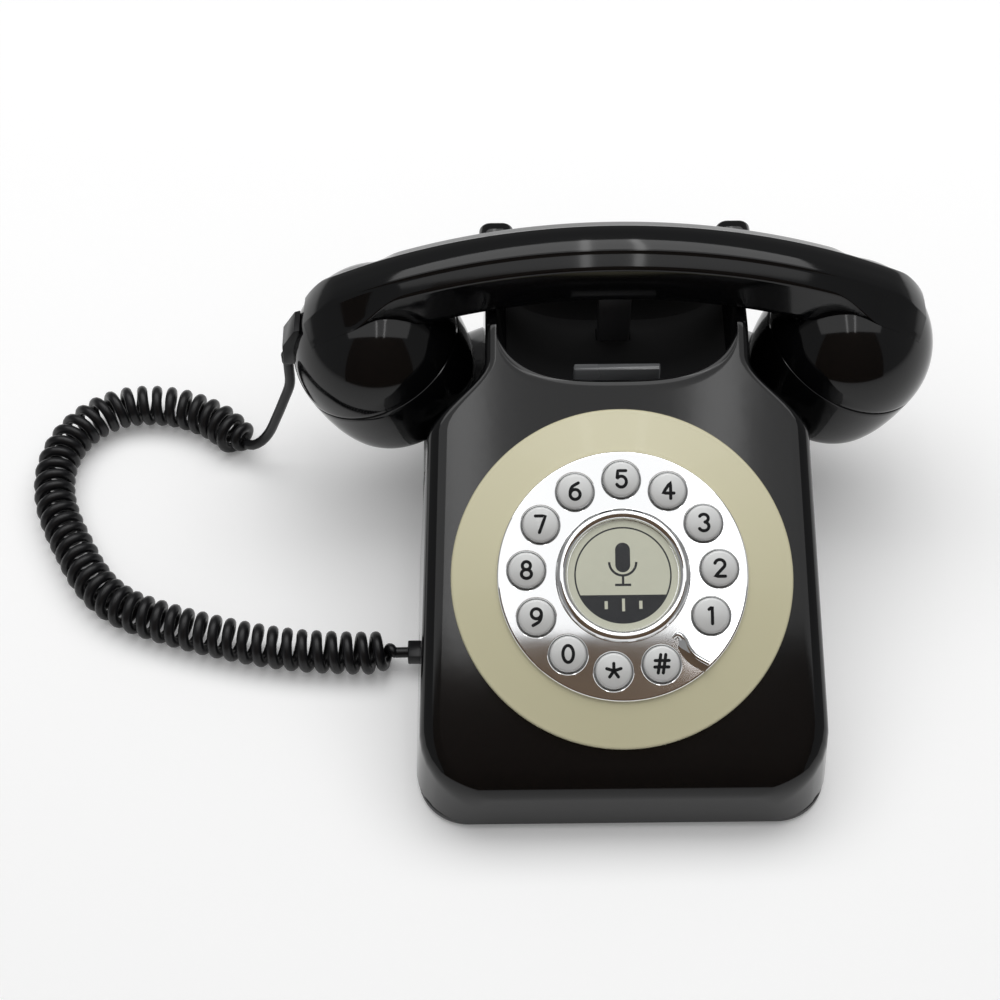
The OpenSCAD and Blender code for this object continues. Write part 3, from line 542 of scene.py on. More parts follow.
class Bench:
    """Makes, shapes and places mesh pieces. Lengths are in millimetres and angles in degrees."""

    FLAT_ANGLE = 0.15
    EDGE_ANGLE = 35.0
    EDGE_STEPS = 3
    SMOOTH_ANGLE = 30.0

    def __init__(self) -> None:
        """Starts with no materials made."""
        self.made: dict[str, bpy.types.Material] = {}

    def finish(self, look: Look) -> bpy.types.Material:
        """Material of a finish, made once.

        Args:
            look: The finish.

        Returns:
            Its material.
        """
        if look.name not in self.made:
            self.made[look.name] = look.make()
        return self.made[look.name]

    def wear(self, piece: bpy.types.Object, look: Look) -> None:
        """Gives a piece one finish and no other."""
        piece.data.materials.clear()
        piece.data.materials.append(self.finish(look))

    def solid(self, name: str, points: Sequence[Point], faces: Sequence[Sequence[int]]) -> bpy.types.Object:
        """Makes a mesh object.

        Args:
            name: Name of the piece.
            points: Corners in the part's frame.
            faces: Corner numbers of each face.

        Returns:
            The object, at the origin.
        """
        mesh = bpy.data.meshes.new(name)
        mesh.from_pydata([[c * MM for c in p] for p in points], [], [list(f) for f in faces])
        mesh.validate()
        return show(name, mesh)

    def loft(self, name: str, rings: Sequence[Sequence[Point]]) -> bpy.types.Object:
        """Makes a skin over closed rings and closes both its ends.

        Args:
            name: Name of the piece.
            rings: Rings of equally many points.

        Returns:
            The object, at the origin.
        """
        n, last = len(rings[0]), len(rings) - 1
        faces = [(i * n + j, (i + 1) * n + j, (i + 1) * n + (j + 1) % n, i * n + (j + 1) % n)
                 for i in range(last) for j in range(n)]
        faces += [tuple(range(n)), tuple(range(last * n, (last + 1) * n))]
        return self.solid(name, [p for ring in rings for p in ring], faces)

    def lathe(self, name: str, outline: Sequence[Flat], steps: int = 128) -> bpy.types.Object:
        """Turns a closed outline about Z.

        Args:
            name: Name of the piece.
            outline: Radius and height of each corner.
            steps: Sides of the turned form.

        Returns:
            The piece in its own frame.
        """
        n = len(outline)
        points = [(r * math.cos(a), r * math.sin(a), z) for a in turn(steps) for r, z in outline]
        faces = []
        for i in range(steps):
            here, there = i * n, (i + 1) % steps * n
            faces += [(here + j, there + j, there + (j + 1) % n, here + (j + 1) % n)
                      for j in range(n) if outline[j][0] or outline[(j + 1) % n][0]]
        return self.tidy(self.solid(name, points, faces))

    def lathed_set(self, name: str, spots: Sequence[Matrix], outline: Sequence[Flat],
                   steps: int = 48) -> bpy.types.Object:
        """Several equal turned forms in one mesh.

        Args:
            name: Name of the piece.
            spots: Frame of each form.
            outline: Radius and height of each corner of a form.
            steps: Sides of a form.

        Returns:
            The object, at the origin.
        """
        work = bmesh.new()
        for spot in spots:
            one = self.lathe("one", outline, steps)
            one.data.transform(spot)
            work.from_mesh(one.data)
            bpy.data.objects.remove(one)
        mesh = bpy.data.meshes.new(name)
        work.to_mesh(mesh)
        work.free()
        return show(name, mesh)

    def tidy(self, piece: bpy.types.Object, angle: float = 32.0, outward: bool = True) -> bpy.types.Object:
        """Merges doubles, turns faces outward and shades smooth up to an angle.

        Args:
            piece: The object.
            angle: Sharpest smooth edge.
            outward: Whether the faces are turned outward.

        Returns:
            The same object.
        """
        with edited(piece.data) as work:
            if outward:
                bmesh.ops.recalc_face_normals(work, faces=work.faces)
        piece.data.shade_smooth()
        piece.data.set_sharp_from_angle(angle=math.radians(angle))
        return piece

    def settle(self, piece: bpy.types.Object) -> bpy.types.Object:
        """Turns a piece's modifiers into plain mesh.

        Args:
            piece: The object.

        Returns:
            The same object.
        """
        deps = bpy.context.evaluated_depsgraph_get()
        mesh = bpy.data.meshes.new_from_object(piece.evaluated_get(deps))
        piece.modifiers.clear()
        piece.data = mesh
        return piece

    def cut(self, piece: bpy.types.Object, tool: bpy.types.Object, operation: str) -> None:
        """Cuts or joins a piece with a tool and removes the tool.

        Args:
            piece: The object that stays.
            tool: The object that is used up.
            operation: DIFFERENCE or UNION.
        """
        step = piece.modifiers.new("cut", "BOOLEAN")
        step.operation, step.solver, step.object = operation, "EXACT", tool
        self.settle(piece)
        bpy.data.objects.remove(tool)

    def round_edges(self, piece: bpy.types.Object, width: float, segments: int, angle: float,
                    harden: bool) -> bpy.types.Object:
        """Rounds a piece's edges.

        Args:
            piece: The object.
            width: Width of the rounding.
            segments: Steps of the rounding.
            angle: Least angle of an edge that is rounded.
            harden: Whether flat faces keep their own normals.

        Returns:
            The same object.
        """
        step = piece.modifiers.new("edge", "BEVEL")
        step.width, step.segments, step.limit_method = width * MM, segments, "ANGLE"
        step.angle_limit, step.harden_normals = math.radians(angle), harden
        return self.settle(piece)

    def soften(self, node: str, name: str, width: float) -> bpy.types.Object:
        """Copy of a CAD node with its flat faces joined and its edges rounded.

        Args:
            node: CAD node.
            name: Name of the piece.
            width: Width of the rounding.

        Returns:
            The piece.
        """
        mesh = frame["nodes"][node].data.copy()
        with edited(mesh) as work:
            bmesh.ops.dissolve_limit(work, angle_limit=math.radians(self.FLAT_ANGLE), verts=work.verts,
                                     edges=work.edges)
        made = self.round_edges(show(name, mesh), width, self.EDGE_STEPS, self.EDGE_ANGLE, True)
        return self.tidy(made, self.SMOOTH_ANGLE, False)

    def place(self, piece: bpy.types.Object, body: Union[Body, str], look: Look, slot: str,
              *nodes: str) -> None:
        """Dresses a piece and fixes it to its body.

        Args:
            piece: The object.
            body: Body it rides on.
            look: Its finish.
            slot: Name of a record slot; not used.
            nodes: CAD nodes that it stands for.
        """
        rides_on = body.value if isinstance(body, Body) else body
        self.wear(piece, look)
        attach(piece, rides_on)
        if nodes:
            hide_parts(*nodes)
        LOG.info("%s rides on %s and stands for %s", piece.name, rides_on, ", ".join(nodes) or "nothing else")

    def dress(self, node: str, look: Look) -> None:
        """Gives a CAD node that stays its finish."""
        self.wear(frame["nodes"][node], look)
        LOG.info("%s keeps its CAD form in %s", node, look.name)


@dataclass(frozen=True)
class Layout:
    """Driving sizes of the telephone in millimetres, and the places that follow from them.

    The panel slopes up from the front edge to the cradle's lip, the shoulders run on from there to the
    neck's tips, and the handset lies across the neck with a cap on each side of it.
    """

    width: float = 147.0
    depth: float = 198.0
    front_height: float = 28.0
    slope: float = 27.0
    lip_back: float = 70.14
    tip_run: float = 21.5
    neck_gap: float = 4.1
    rest_gap: float = 0.4
    slide_gap: float = 0.35
    seat_gap: float = 0.2
    handset_back: float = 34.8
    handset_length: float = 238.0
    handle_thick: float = 23.5
    handle_wide: float = 23.2
    arc: float = 222.0
    bowl: float = 32.0
    tilt: float = 23.5
    cup_drop: float = 59.5
    cap_height: float = 30.0
    cap_face: float = 9.0
    cap_flank: tuple[Flat, ...] = ((0.3, 0.3), (1.2, 0.55), (2.8, 0.76), (4.6, 0.89), (6.6, 0.97))

    def on_panel(self, s: float) -> Flat:
        """Y and Z at a distance s up the panel from its front edge."""
        a = math.radians(self.slope)
        return s * math.cos(a) - self.depth / 2, s * math.sin(a) + self.front_height

    def run(self, y: float) -> float:
        """Distance up the panel at y."""
        return (y + self.depth / 2) / math.cos(math.radians(self.slope))

    @property
    def lip_run(self) -> float:
        """Distance up the panel to the cradle's lip."""
        return self.run(self.depth / 2 - self.lip_back)

    @property
    def tips(self) -> Flat:
        """Y and Z of the neck's tips."""
        return self.on_panel(self.lip_run + self.tip_run)

    @property
    def handset_y(self) -> float:
        """Middle plane of the handset."""
        return self.depth / 2 - self.lip_back + self.handset_back

    @property
    def cup_x(self) -> float:
        """Distance of each bowl's centre from the middle."""
        return self.handset_length / 2 - self.bowl

    @property
    def neck(self) -> float:
        """Width of the neck.

        Returns:
            The width that leaves a gap to the caps on both sides.
        """
        a = math.radians(self.tilt)
        reach = max((self.bowl - inset) * math.cos(a) + share * self.cap_height * math.sin(a)
                    for inset, share in self.cap_flank)
        return 2 * (self.cup_x - reach - self.neck_gap)

    @property
    def handset_top(self) -> float:
        """Top of the handle.

        Returns:
            Its height with the underside resting on the neck's tips.
        """
        under = self.arc - self.handle_thick
        sag = under - math.sqrt(under ** 2 - (self.neck / 2) ** 2)
        return self.tips[1] + self.rest_gap + self.handle_thick + sag

    @property
    def cup_z(self) -> float:
        """Height of each bowl's centre."""
        return self.handset_top - self.cup_drop

    @property
    def face_z(self) -> float:
        """Height of the higher edge of a cap's face."""
        a = math.radians(self.tilt)
        return self.cup_z - self.cap_height * math.cos(a) + (self.bowl - self.cap_face) * math.sin(a)


class Row(NamedTuple):
    """One row of the case: middle and edge of its top, its share of the neck and its edge radius."""

    y_mid: float
    z_mid: float
    y_edge: float
    z_edge: float
    share: float
    radius: float


@dataclass
class Case:
    """Glossy black case: sloping panel, shoulders, neck with its cradle, rear horns and openings.

    Lengths are in millimetres. A lead is a distance before the lip at which a change starts, and a blend
    is the distance that the change takes. Points of the lip are given by the distance behind the lip, the
    height above the lip or above its foot, and the distance of the row's edge behind the neck's tips.
    """

    bench: Bench
    plan: Layout
    lean: float = 4.0
    wall: float = 3.0
    bottom: float = 4.5
    front_corner: float = 22.0
    back_corner: float = 18.0
    front_round: float = 7.0
    side_round: float = 7.0
    back_round: float = 12.0
    neck_round: float = 3.2
    flare: float = 0.7
    panel_share: float = 0.985
    neck_lean: float = 0.03
    neck_lead: float = 16.0
    neck_blend: float = 26.0
    scoop_gap: float = 2.5
    scoop_run: float = 15.4
    scoop_in: float = 2.0
    cheek: float = 4.0
    cheek_flat: float = 0.5
    saddle_power: int = 3
    floor_drop: float = 14.0
    floor_from: Flat = (7.0, 3.0)
    rear_from: float = 7.0
    rear_blend: float = 9.0
    rear_rise: float = 4.0
    lip_top: tuple[Point, ...] = ((1.2, -0.1, 0.7), (2.6, -1.4, 1.4), (3.1, -4.2, 1.8))
    lip_foot: tuple[Point, ...] = ((3.9, 3.2, 2.1), (4.5, 1.0, 2.4))
    hollow_lead: float = 42.0
    hollow_blend: float = 30.0
    hollow_step: float = 5.0
    hollow_corner: Flat = (2.0, 6.0)
    horn_w: float = 12.5
    horn_t: float = 6.5
    horn_h: float = 15.5
    horn_out: float = 2.0
    horn_gap: float = 2.8
    horn_corner: float = 4.2
    horn_edge: float = 1.6
    dial_cut: Flat = (-12.0, 18.0)
    slot_cut: float = 30.0
    slot_rise: float = 11.0
    hook_bar: Flat = (31.0, 3.0)
    hook_bar_back: float = 8.0
    hook_arm: Flat = (12.0, 5.0)
    plug_at: Point = (-79.25, -29.6, 8.0)
    plug_hole: Point = (21.5, 12.4, 9.0)
    usb_z: float = 13.8
    usb_hole: Point = (9.4, 40.0, 3.8)
    coarse_rows: int = 20
    fine_rows: int = 26
    lip_steps: int = 5
    floor_rows: int = 28
    top_steps: int = 26
    edge_steps: int = 8
    side_steps: int = 18
    horn_steps: int = 10
    hole_sides: int = 160

    def __post_init__(self) -> None:
        """Works out the places that several methods share."""
        plan = self.plan
        self.front, self.back = -plan.depth / 2, plan.depth / 2
        self.lip_y, self.lip_z = plan.on_panel(plan.lip_run)
        self.tip_y, self.cheek_z = plan.tips
        self.half_neck = plan.neck / 2
        self.floor_z = self.lip_z - self.floor_drop
        self.rear_z = self.lip_z + self.rear_rise
        self.scoop_top = plan.face_z - self.scoop_gap
        self.scoop_low = self.scoop_top - self.scoop_run
        self.horn_x = self.half_neck - self.horn_w / 2 + self.horn_out
        self.horn_y = plan.handset_y + plan.handle_wide / 2 + self.horn_gap
        self.horn_top = self.cheek_z + self.horn_h

    def wall_x(self, z: float) -> float:
        """Half width of the leaning side walls at a height."""
        return self.plan.width / 2 - (z - self.bottom) * math.tan(math.radians(self.lean))

    def side_x(self, y: float, z: float, share: float) -> float:
        """Half width of the case.

        Args:
            y: Place from front to back.
            z: Height.
            share: Share of the neck, 0 under the panel and 1 at the cradle.

        Returns:
            The half width, less the rounded corners.
        """
        scoop = ease((self.scoop_top - z) / (self.scoop_top - self.scoop_low))
        neck = (self.half_neck + max(0.0, self.cheek_z - z) * self.neck_lean
                + (self.wall_x(self.scoop_low) - self.scoop_in - self.half_neck) * scoop)
        return (mix(self.wall_x(z), neck, share) - round_loss(y - self.front, self.front_corner)
                - round_loss(self.back - y, self.back_corner))

    def neck_row(self, y: float, z: float, y_edge: float) -> Row:
        """Row of the neck, whose edges are level."""
        return Row(y, z, y_edge, self.cheek_z, 1.0, self.neck_round)

    def front_rows(self) -> list[Row]:
        """Rows of the rounded front edge and of the panel.

        Returns:
            The rows, from the front up to just before the lip.
        """
        rows = []
        for a in sweep(0, 81, 9):
            y = self.front + self.front_round * (1 - math.cos(a))
            z = self.plan.on_panel(self.plan.run(y))[1] - self.front_round * (1 - math.sin(a))
            rows.append(Row(y, z, y, z, 0.0, self.side_round))
        start = self.plan.run(self.front + self.front_round)
        shares = [self.flare * i / self.coarse_rows for i in range(self.coarse_rows)]
        shares += [mix(self.flare, self.panel_share, i / self.fine_rows) for i in range(self.fine_rows + 1)]
        for t in shares:
            s = mix(start, self.plan.lip_run, t)
            ahead = ease((s / self.plan.lip_run - self.flare) / (1 - self.flare))
            e = s + ahead * self.plan.tip_run
            k = ease((e - self.plan.lip_run + self.neck_lead) / self.neck_blend)
            radius = mix(self.side_round, self.neck_round, k)
            rows.append(Row(*self.plan.on_panel(s), *self.plan.on_panel(e), k, radius))
        return rows

    def rows(self) -> list[Row]:
        """Rows from the front wall over the panel, the lip and the cradle to the back wall.

        Returns:
            The rows, from front to back.
        """
        rows, floor = self.front_rows(), []
        rear = self.horn_y + self.horn_t
        for t in (i / self.floor_rows for i in range(self.floor_rows + 1)):
            y = mix(self.lip_y + self.floor_from[0], rear, t)
            rise = ease((y - self.plan.handset_y - self.rear_from) / self.rear_blend)
            y_edge = mix(self.tip_y + self.floor_from[1], rear, t)
            floor.append(self.neck_row(y, mix(self.floor_z, self.rear_z, rise), y_edge))
        lip = [self.neck_row(self.lip_y + y, level + z, self.tip_y + y_edge)
               for level, line in ((self.lip_z, self.lip_top), (self.floor_z, self.lip_foot))
               for y, z, y_edge in line]
        over = curve([rows[-3], rows[-1], *lip, floor[0], floor[2]], self.lip_steps)
        rows += [Row(*p) for p in over[self.lip_steps + 1:-self.lip_steps - 1]] + floor
        for a in sweep(9, 90, 9):
            y = self.back - self.back_round * (1 - math.sin(a))
            fall = self.back_round * (1 - math.cos(a))
            rows.append(Row(y, self.rear_z - fall, y, self.cheek_z - fall, 1.0, self.neck_round))
        return rows

    def section(self, r: Row) -> list[Point]:
        """Outer line of one row.

        Args:
            r: The row.

        Returns:
            Its points from the bottom left over the top to the bottom right.
        """
        e = self.side_x(r.y_edge, r.z_edge - r.radius, r.share)
        cheek = max(self.cheek, r.radius + self.cheek_flat)
        half = []
        for u in (math.sin(a) for a in sweep(0, 90, self.top_steps)):
            b = 1 - math.sqrt(max(1 - u ** self.saddle_power, 0.0))
            half.append((u * (e - cheek), mix(r.y_mid, r.y_edge, b), mix(r.z_mid, r.z_edge, b)))
        half += [(e - r.radius * (1 - math.sin(a)), r.y_edge, r.z_edge - r.radius * (1 - math.cos(a)))
                 for a in sweep(0, 90, self.edge_steps)]
        for i in range(1, self.side_steps + 1):
            z = mix(r.z_edge - r.radius, self.bottom, i / self.side_steps)
            half.append((self.side_x(r.y_edge, z, r.share), r.y_edge, z))
        return [(-x, y, z) for x, y, z in reversed(half[1:])] + half

    def hollow(self, outer_y: float) -> list[Point]:
        """Inner line of one row.

        Args:
            outer_y: Place of the row on the outer skin.

        Returns:
            Its points from the bottom left over the top to the bottom right.
        """
        plan = self.plan
        y = mix(self.front + self.wall, self.back - self.wall, (outer_y - self.front) / plan.depth)
        k = ease((plan.run(y) - plan.lip_run + self.hollow_lead) / self.hollow_blend)
        corner = (round_loss(y - self.front - self.wall, self.front_corner - self.wall)
                  + round_loss(self.back - self.wall - y, self.back_corner - self.wall))
        under = plan.on_panel(plan.run(y))[1] - self.wall / math.cos(math.radians(plan.slope))
        top = min(self.floor_z - self.wall, under - round_loss(y - self.front, self.front_round))
        short, long = self.hollow_corner
        foot = self.scoop_low - self.wall
        step = self.wall_x(self.scoop_low) - self.wall - self.hollow_step - corner
        inner = self.half_neck - self.cheek - self.wall - corner
        side = self.wall_x(top) - self.wall - corner
        half = [(self.wall_x(self.bottom) - self.wall - corner, self.bottom),
                (mix(side, step, k), mix(top - long, foot, k)),
                (mix(side - short, inner, k), mix(top - short, foot + 1, k)),
                (mix(side - long, inner, k), top)]
        return [(-x, y, z) for x, z in half] + [(x, y, z) for x, z in reversed(half)]

    def shell(self) -> bpy.types.Object:
        """Closed shell of the outer skin, the hollow and the bottom rim.

        Returns:
            The object, at the origin.
        """
        rows = self.rows()
        outer = [p for r in rows for p in self.section(r)]
        inner = [p for r in rows for p in self.hollow(r.y_edge)]
        m, last = len(outer), len(rows) - 1
        n, k = m // len(rows), len(inner) // len(rows)
        faces = [(i * n + j, (i + 1) * n + j, (i + 1) * n + j + 1, i * n + j + 1)
                 for i in range(last) for j in range(n - 1)]
        faces += [(m + i * k + j, m + i * k + j + 1, m + (i + 1) * k + j + 1, m + (i + 1) * k + j)
                  for i in range(last) for j in range(k - 1)]
        for i in range(last):
            a, b, c, d = i * n, (i + 1) * n, m + i * k, m + (i + 1) * k
            faces += [(a, c, d, b), (c + k - 1, a + n - 1, b + n - 1, d + k - 1)]
        a, c = last * n, m + last * k
        faces += [(0, n - 1, m + k - 1, m), (c, c + k - 1, a + n - 1, a),
                  tuple(range(n)), tuple(range(a + n - 1, a - 1, -1)),
                  tuple(range(m + k - 1, m - 1, -1)), tuple(range(c, c + k))]
        return self.bench.solid("case", outer + inner, faces)

    def horn(self, x: float) -> bpy.types.Object:
        """One rear horn with a soft round top.

        Args:
            x: Its middle.

        Returns:
            The horn, to be joined to the case.
        """
        half, r = self.horn_w / 2, self.horn_corner
        line = [(x + half, self.floor_z)]
        for side, first in ((1, 0), (-1, 90)):
            line += [(x + side * (half - r) + r * math.cos(a), self.horn_top - r + r * math.sin(a))
                     for a in sweep(first, first + 90, self.horn_steps)]
        line.append((x - half, self.floor_z))
        rings = [[(px, self.horn_y + y, pz) for px, pz in line] for y in (0, self.horn_t)]
        made = self.bench.tidy(self.bench.loft("horn", rings))
        return self.bench.round_edges(made, self.horn_edge, 4, 30.0, False)

    def block(self, middle: Point, size: Point) -> bpy.types.Object:
        """Box used as a cutting tool.

        Args:
            middle: Its middle.
            size: Its size along each axis.

        Returns:
            The tool.
        """
        points = list(product(*((c - s / 2, c + s / 2) for c, s in zip(middle, size))))
        faces = [(0, 1, 3, 2), (4, 6, 7, 5), (0, 4, 5, 1), (2, 3, 7, 6), (0, 2, 6, 4), (1, 5, 7, 3)]
        return self.bench.tidy(self.bench.solid("tool", points, faces))

    def build(self, dial: Matrix, dial_hole: float) -> None:
        """Makes the case, joins its horns and cuts its openings.

        Args:
            dial: Place of the dial's centre on the panel.
            dial_hole: Radius of the hole for the dial.
        """
        case = self.bench.tidy(self.shell())
        for x in (-self.horn_x, self.horn_x):
            self.bench.cut(case, self.horn(x), "UNION")
        low, high = self.dial_cut
        outline = [(0, low), (dial_hole, low), (dial_hole, high), (0, high)]
        hole = self.bench.lathe("tool", outline, self.hole_sides)
        hole.data.transform(dial)
        tools = [hole]
        for (wide, deep), y in ((self.hook_bar, self.lip_y + self.hook_bar_back),
                                (self.hook_arm, self.plan.handset_y)):
            play = 2 * self.plan.slide_gap
            tools.append(self.block((0, y, self.floor_z + self.slot_rise),
                                    (wide + play, deep + play, self.slot_cut)))
        tools += [self.block(self.plug_at, self.plug_hole),
                  self.block((0, self.back, self.usb_z), self.usb_hole)]
        for tool in tools:
            self.bench.cut(case, tool, "DIFFERENCE")
        self.bench.tidy(case, 34.0, False)
        self.bench.place(case, Body.BASE, CASE_BLACK, "black_gloss", "upper_housing")


class Glyphs:
    """Strokes of the signs on the keys, in a box 1 wide and 1.4 high about the middle."""

    HEIGHT = 1.4

    @staticmethod
    def arc(x: float, y: float, rx: float, ry: float, start: float, end: float) -> list[Flat]:
        """Points of an elliptic arc.

        Args:
            x: Middle, across.
            y: Middle, up.
            rx: Half width.
            ry: Half height.
            start: First angle in degrees.
            end: Last angle in degrees.

        Returns:
            The points.
        """
        steps = max(6, int(abs(end - start) / 12))
        return [(x + rx * math.cos(a), y + ry * math.sin(a)) for a in sweep(start, end, steps)]

    @classmethod
    def strokes(cls, sign: str) -> list[list[Flat]]:
        """Strokes of one sign.

        Args:
            sign: A digit, star or hash.

        Returns:
            The points of each stroke.
        """
        arc = cls.arc
        table = {
            "1": [[(-0.22, 0.5), (0.05, 0.7), (0.05, -0.7)]],
            "2": [arc(0, 0.3, 0.42, 0.4, 165, -30) + [(-0.42, -0.7), (0.45, -0.7)]],
            "3": [arc(-0.02, 0.36, 0.38, 0.34, 150, -75), arc(-0.02, -0.33, 0.42, 0.37, 75, -150)],
            "4": [[(0.2, -0.7), (0.2, 0.7), (-0.45, -0.25), (0.48, -0.25)]],
            "5": [[(0.38, 0.7), (-0.3, 0.7), (-0.36, 0.1)] + arc(-0.02, -0.24, 0.43, 0.46, 140, -150)],
            "6": [[(0.28, 0.7)] + arc(0.1, -0.2, 0.52, 0.75, 118, 180) + arc(0, -0.28, 0.42, 0.42, 180, 540)],
            "7": [[(-0.42, 0.7), (0.42, 0.7), (-0.1, -0.7)]],
            "8": [arc(0, 0.36, 0.34, 0.34, 0, 360), arc(0, -0.34, 0.42, 0.37, 0, 360)],
            "9": [arc(0, 0.28, 0.42, 0.42, 0, 360) + arc(-0.1, 0.2, 0.52, 0.75, 0, -62) + [(-0.28, -0.7)]],
            "0": [arc(0, 0, 0.44, 0.7, 0, 360)],
            "star": [[(0, 0), (0.62 * math.cos(a), 0.62 * math.sin(a))] for a in sweep(90, 378, 4)],
            "hash": [[(-0.09, 0.76), (-0.33, -0.76)], [(0.33, 0.76), (0.09, -0.76)],
                     [(-0.56, 0.27), (0.6, 0.27)], [(-0.6, -0.27), (0.56, -0.27)]]}
        return table[sign]


@dataclass
class Dial:
    """Cream ring, chrome plate, centre with its card, finger stop and the twelve keys.

    Lengths are in millimetres. A share is a part of the cream ring's radius. Heights are above the panel,
    or above the plate for what sits on it.
    """

    bench: Bench
    plan: Layout
    front_gap: float = 14.0
    back_gap: float = 9.5
    ring_edge: float = 2.2
    cone_in: float = 0.5
    hole_in: float = 8.0
    board_top: float = -0.75
    plate: float = 7.0
    plate_share: float = 0.732
    plate_t: float = 1.6
    plate_gap: float = 0.6
    ledge_in: float = 1.2
    boss_share: float = 0.393
    boss_w: float = 4.1
    card_t: float = 0.36
    cover_low: float = 0.45
    cover_top: float = 1.4
    stop_line: tuple[Flat, ...] = ((16.9, -21.9), (18.7, -20.8), (20.6, -22.3), (22.1, -25.5), (24.7, -28.5),
                                   (29.2, -31.2))
    stop_section: tuple[Flat, ...] = ((1.1, -0.4), (1.05, 0.75), (0.7, 1.5), (0, 1.8), (-0.7, 1.5),
                                      (-1.1, 0.95), (-3.2, 0.3), (-3.4, -0.4))
    stop_slope: float = -2.0
    stop_start: Flat = (0.55, 0.34)
    stop_steps: int = 6
    key_ring_share: float = 0.56
    key_share: float = 0.1045
    key_rise: float = 1.9
    key_dome: float = 0.56
    key_flange: float = 1.1
    flange_t: float = 1.2
    hole_lip: float = 0.6
    hole_cut: float = 4.0
    key_step: float = 28.9
    top_key: int = 4
    sign_h: float = 5.8
    sign_w: float = 1.12
    sign_sink: float = 0.05
    sign_rise: float = 0.045
    signs: tuple[str, ...] = ("1", "2", "3", "4", "5", "6", "7", "8", "9", "0", "star", "hash")
    ring_sides: int = 192
    centre_sides: int = 160
    hole_sides: int = 100
    key_sides: int = 72

    def __post_init__(self) -> None:
        """Works out the radii and sets the frame on the panel, in metres."""
        plan = self.plan
        self.ring_r = r = (plan.lip_run - self.front_gap - self.back_gap) / 2
        self.plate_r, self.boss_r = r * self.plate_share, r * self.boss_share
        self.key_ring, self.key_r = r * self.key_ring_share, r * self.key_share
        self.hole_r = r - self.hole_in
        self.skirt_r, self.ledge_r = self.hole_r - plan.slide_gap, self.plate_r - self.ledge_in
        self.card_r = self.boss_r - self.boss_w - plan.seat_gap
        self.centre = (0.0, *plan.on_panel(self.front_gap + r))
        self.place = (Matrix.Translation(Vector(self.centre) * MM)
                      @ Matrix.Rotation(math.radians(plan.slope), 4, "X"))

    def turned(self, name: str, outline: Sequence[Flat], steps: int) -> bpy.types.Object:
        """Turned piece set on the panel.

        Args:
            name: Name of the piece.
            outline: Radius and height of each corner.
            steps: Sides of the turned form.

        Returns:
            The piece.
        """
        made = self.bench.lathe(name, outline, steps)
        made.data.transform(self.place)
        return self.bench.tidy(made, 40.0)

    def bezel(self) -> None:
        """Cream ring: a flat cone with a soft outer edge, the plate's seat and a skirt."""
        r, edge, seat = self.ring_r, self.ring_edge, self.plate - self.plate_t
        soft = curve([(r, 0.4), (r, edge - 0.9), (r - 0.15, edge - 0.4), (r - 0.6, edge),
                      (r - 1.8, edge + 0.26)], 4)
        tip = self.plate_r + self.plate_gap
        fall = (seat - edge) / (r - self.cone_in - tip)
        outline = [(self.skirt_r, self.board_top), (self.skirt_r, 0), (r, 0), *soft,
                   (r - 2.4, edge + (2.4 - self.cone_in) * fall), (tip + 0.4, seat - 0.4 * fall), (tip, seat),
                   (self.ledge_r, seat), (self.ledge_r, self.board_top)]
        ring = self.turned("cream_ring", outline, self.ring_sides)
        self.bench.place(ring, Body.BASE, CREAM, "cream", "dial_bezel")

    def chrome(self) -> None:
        """Plate with twelve holes, ring round the card and finger stop."""
        w, r, under = self.plate, self.plate_r, self.plate - self.plate_t
        rim = curve([(r, under + 0.3), (r, w - 0.95), (r - 0.12, w - 0.5), (r - 0.4, w - 0.16),
                     (r - 0.9, w)], 4)
        plate = self.turned("chrome_plate", [(0, under), (r, under), *rim, (0, w)], self.ring_sides)
        bore, lip, deep = self.key_r + self.plan.slide_gap, self.hole_lip, self.hole_cut
        edge = [(bore + lip * (1 - math.cos(a)), w - lip * (1 - math.sin(a))) for a in sweep(0, 90, 6)]
        peg = [(0, w - deep), (bore, w - deep), *edge, (bore + lip + 0.01, w + deep), (0, w + deep)]
        spots = [self.key_spot(i) for i in range(len(self.signs))]
        self.bench.cut(plate, self.bench.lathed_set("pegs", spots, peg, self.hole_sides), "DIFFERENCE")
        self.bench.tidy(plate, 4.0, False)
        self.bench.place(plate, Body.BASE, CHROME, "chrome", "dial_plate")
        r, low = self.boss_r, self.boss_r - self.boss_w
        crest = curve([(r, w + 0.4), (r - 0.1, w + 1.1), (r - 0.6, w + 1.8), (r - 1.4, w + 2.4),
                       (r - 2.2, w + 2.6), (low + 1.1, w + 2.4), (low + 0.35, w + 1.8), (low, w + 0.9)], 5)
        boss = self.turned("centre_boss", [(r, w), *crest, (low, w)], self.centre_sides)
        self.bench.place(boss, Body.BASE, CHROME, "chrome", "centre_ring")
        self.bench.place(self.stop(), Body.BASE, CHROME, "chrome", "finger_stop")

    def centre_pieces(self) -> None:
        """Printed card and its clear cover."""
        r, w, low, top = self.card_r, self.plate, self.plate + self.cover_low, self.plate + self.cover_top
        outline = [(0, w), (r, w), (r, w + self.card_t), (0, w + self.card_t)]
        card = self.turned("printed_card", outline, self.centre_sides)
        design = CardPrint("centre card", self.centre, self.plan.slope)
        self.bench.place(card, Body.BASE, design, "card", "centre_card")
        outline = [(0, low), (r, low), (r, top - 0.3), (r - 0.15, top - 0.1), (r - 0.5, top), (0, top)]
        cover = self.turned("clear_cover", outline, self.centre_sides)
        self.bench.place(cover, Body.BASE, ClearCover("centre lens"), "lens", "centre_lens")

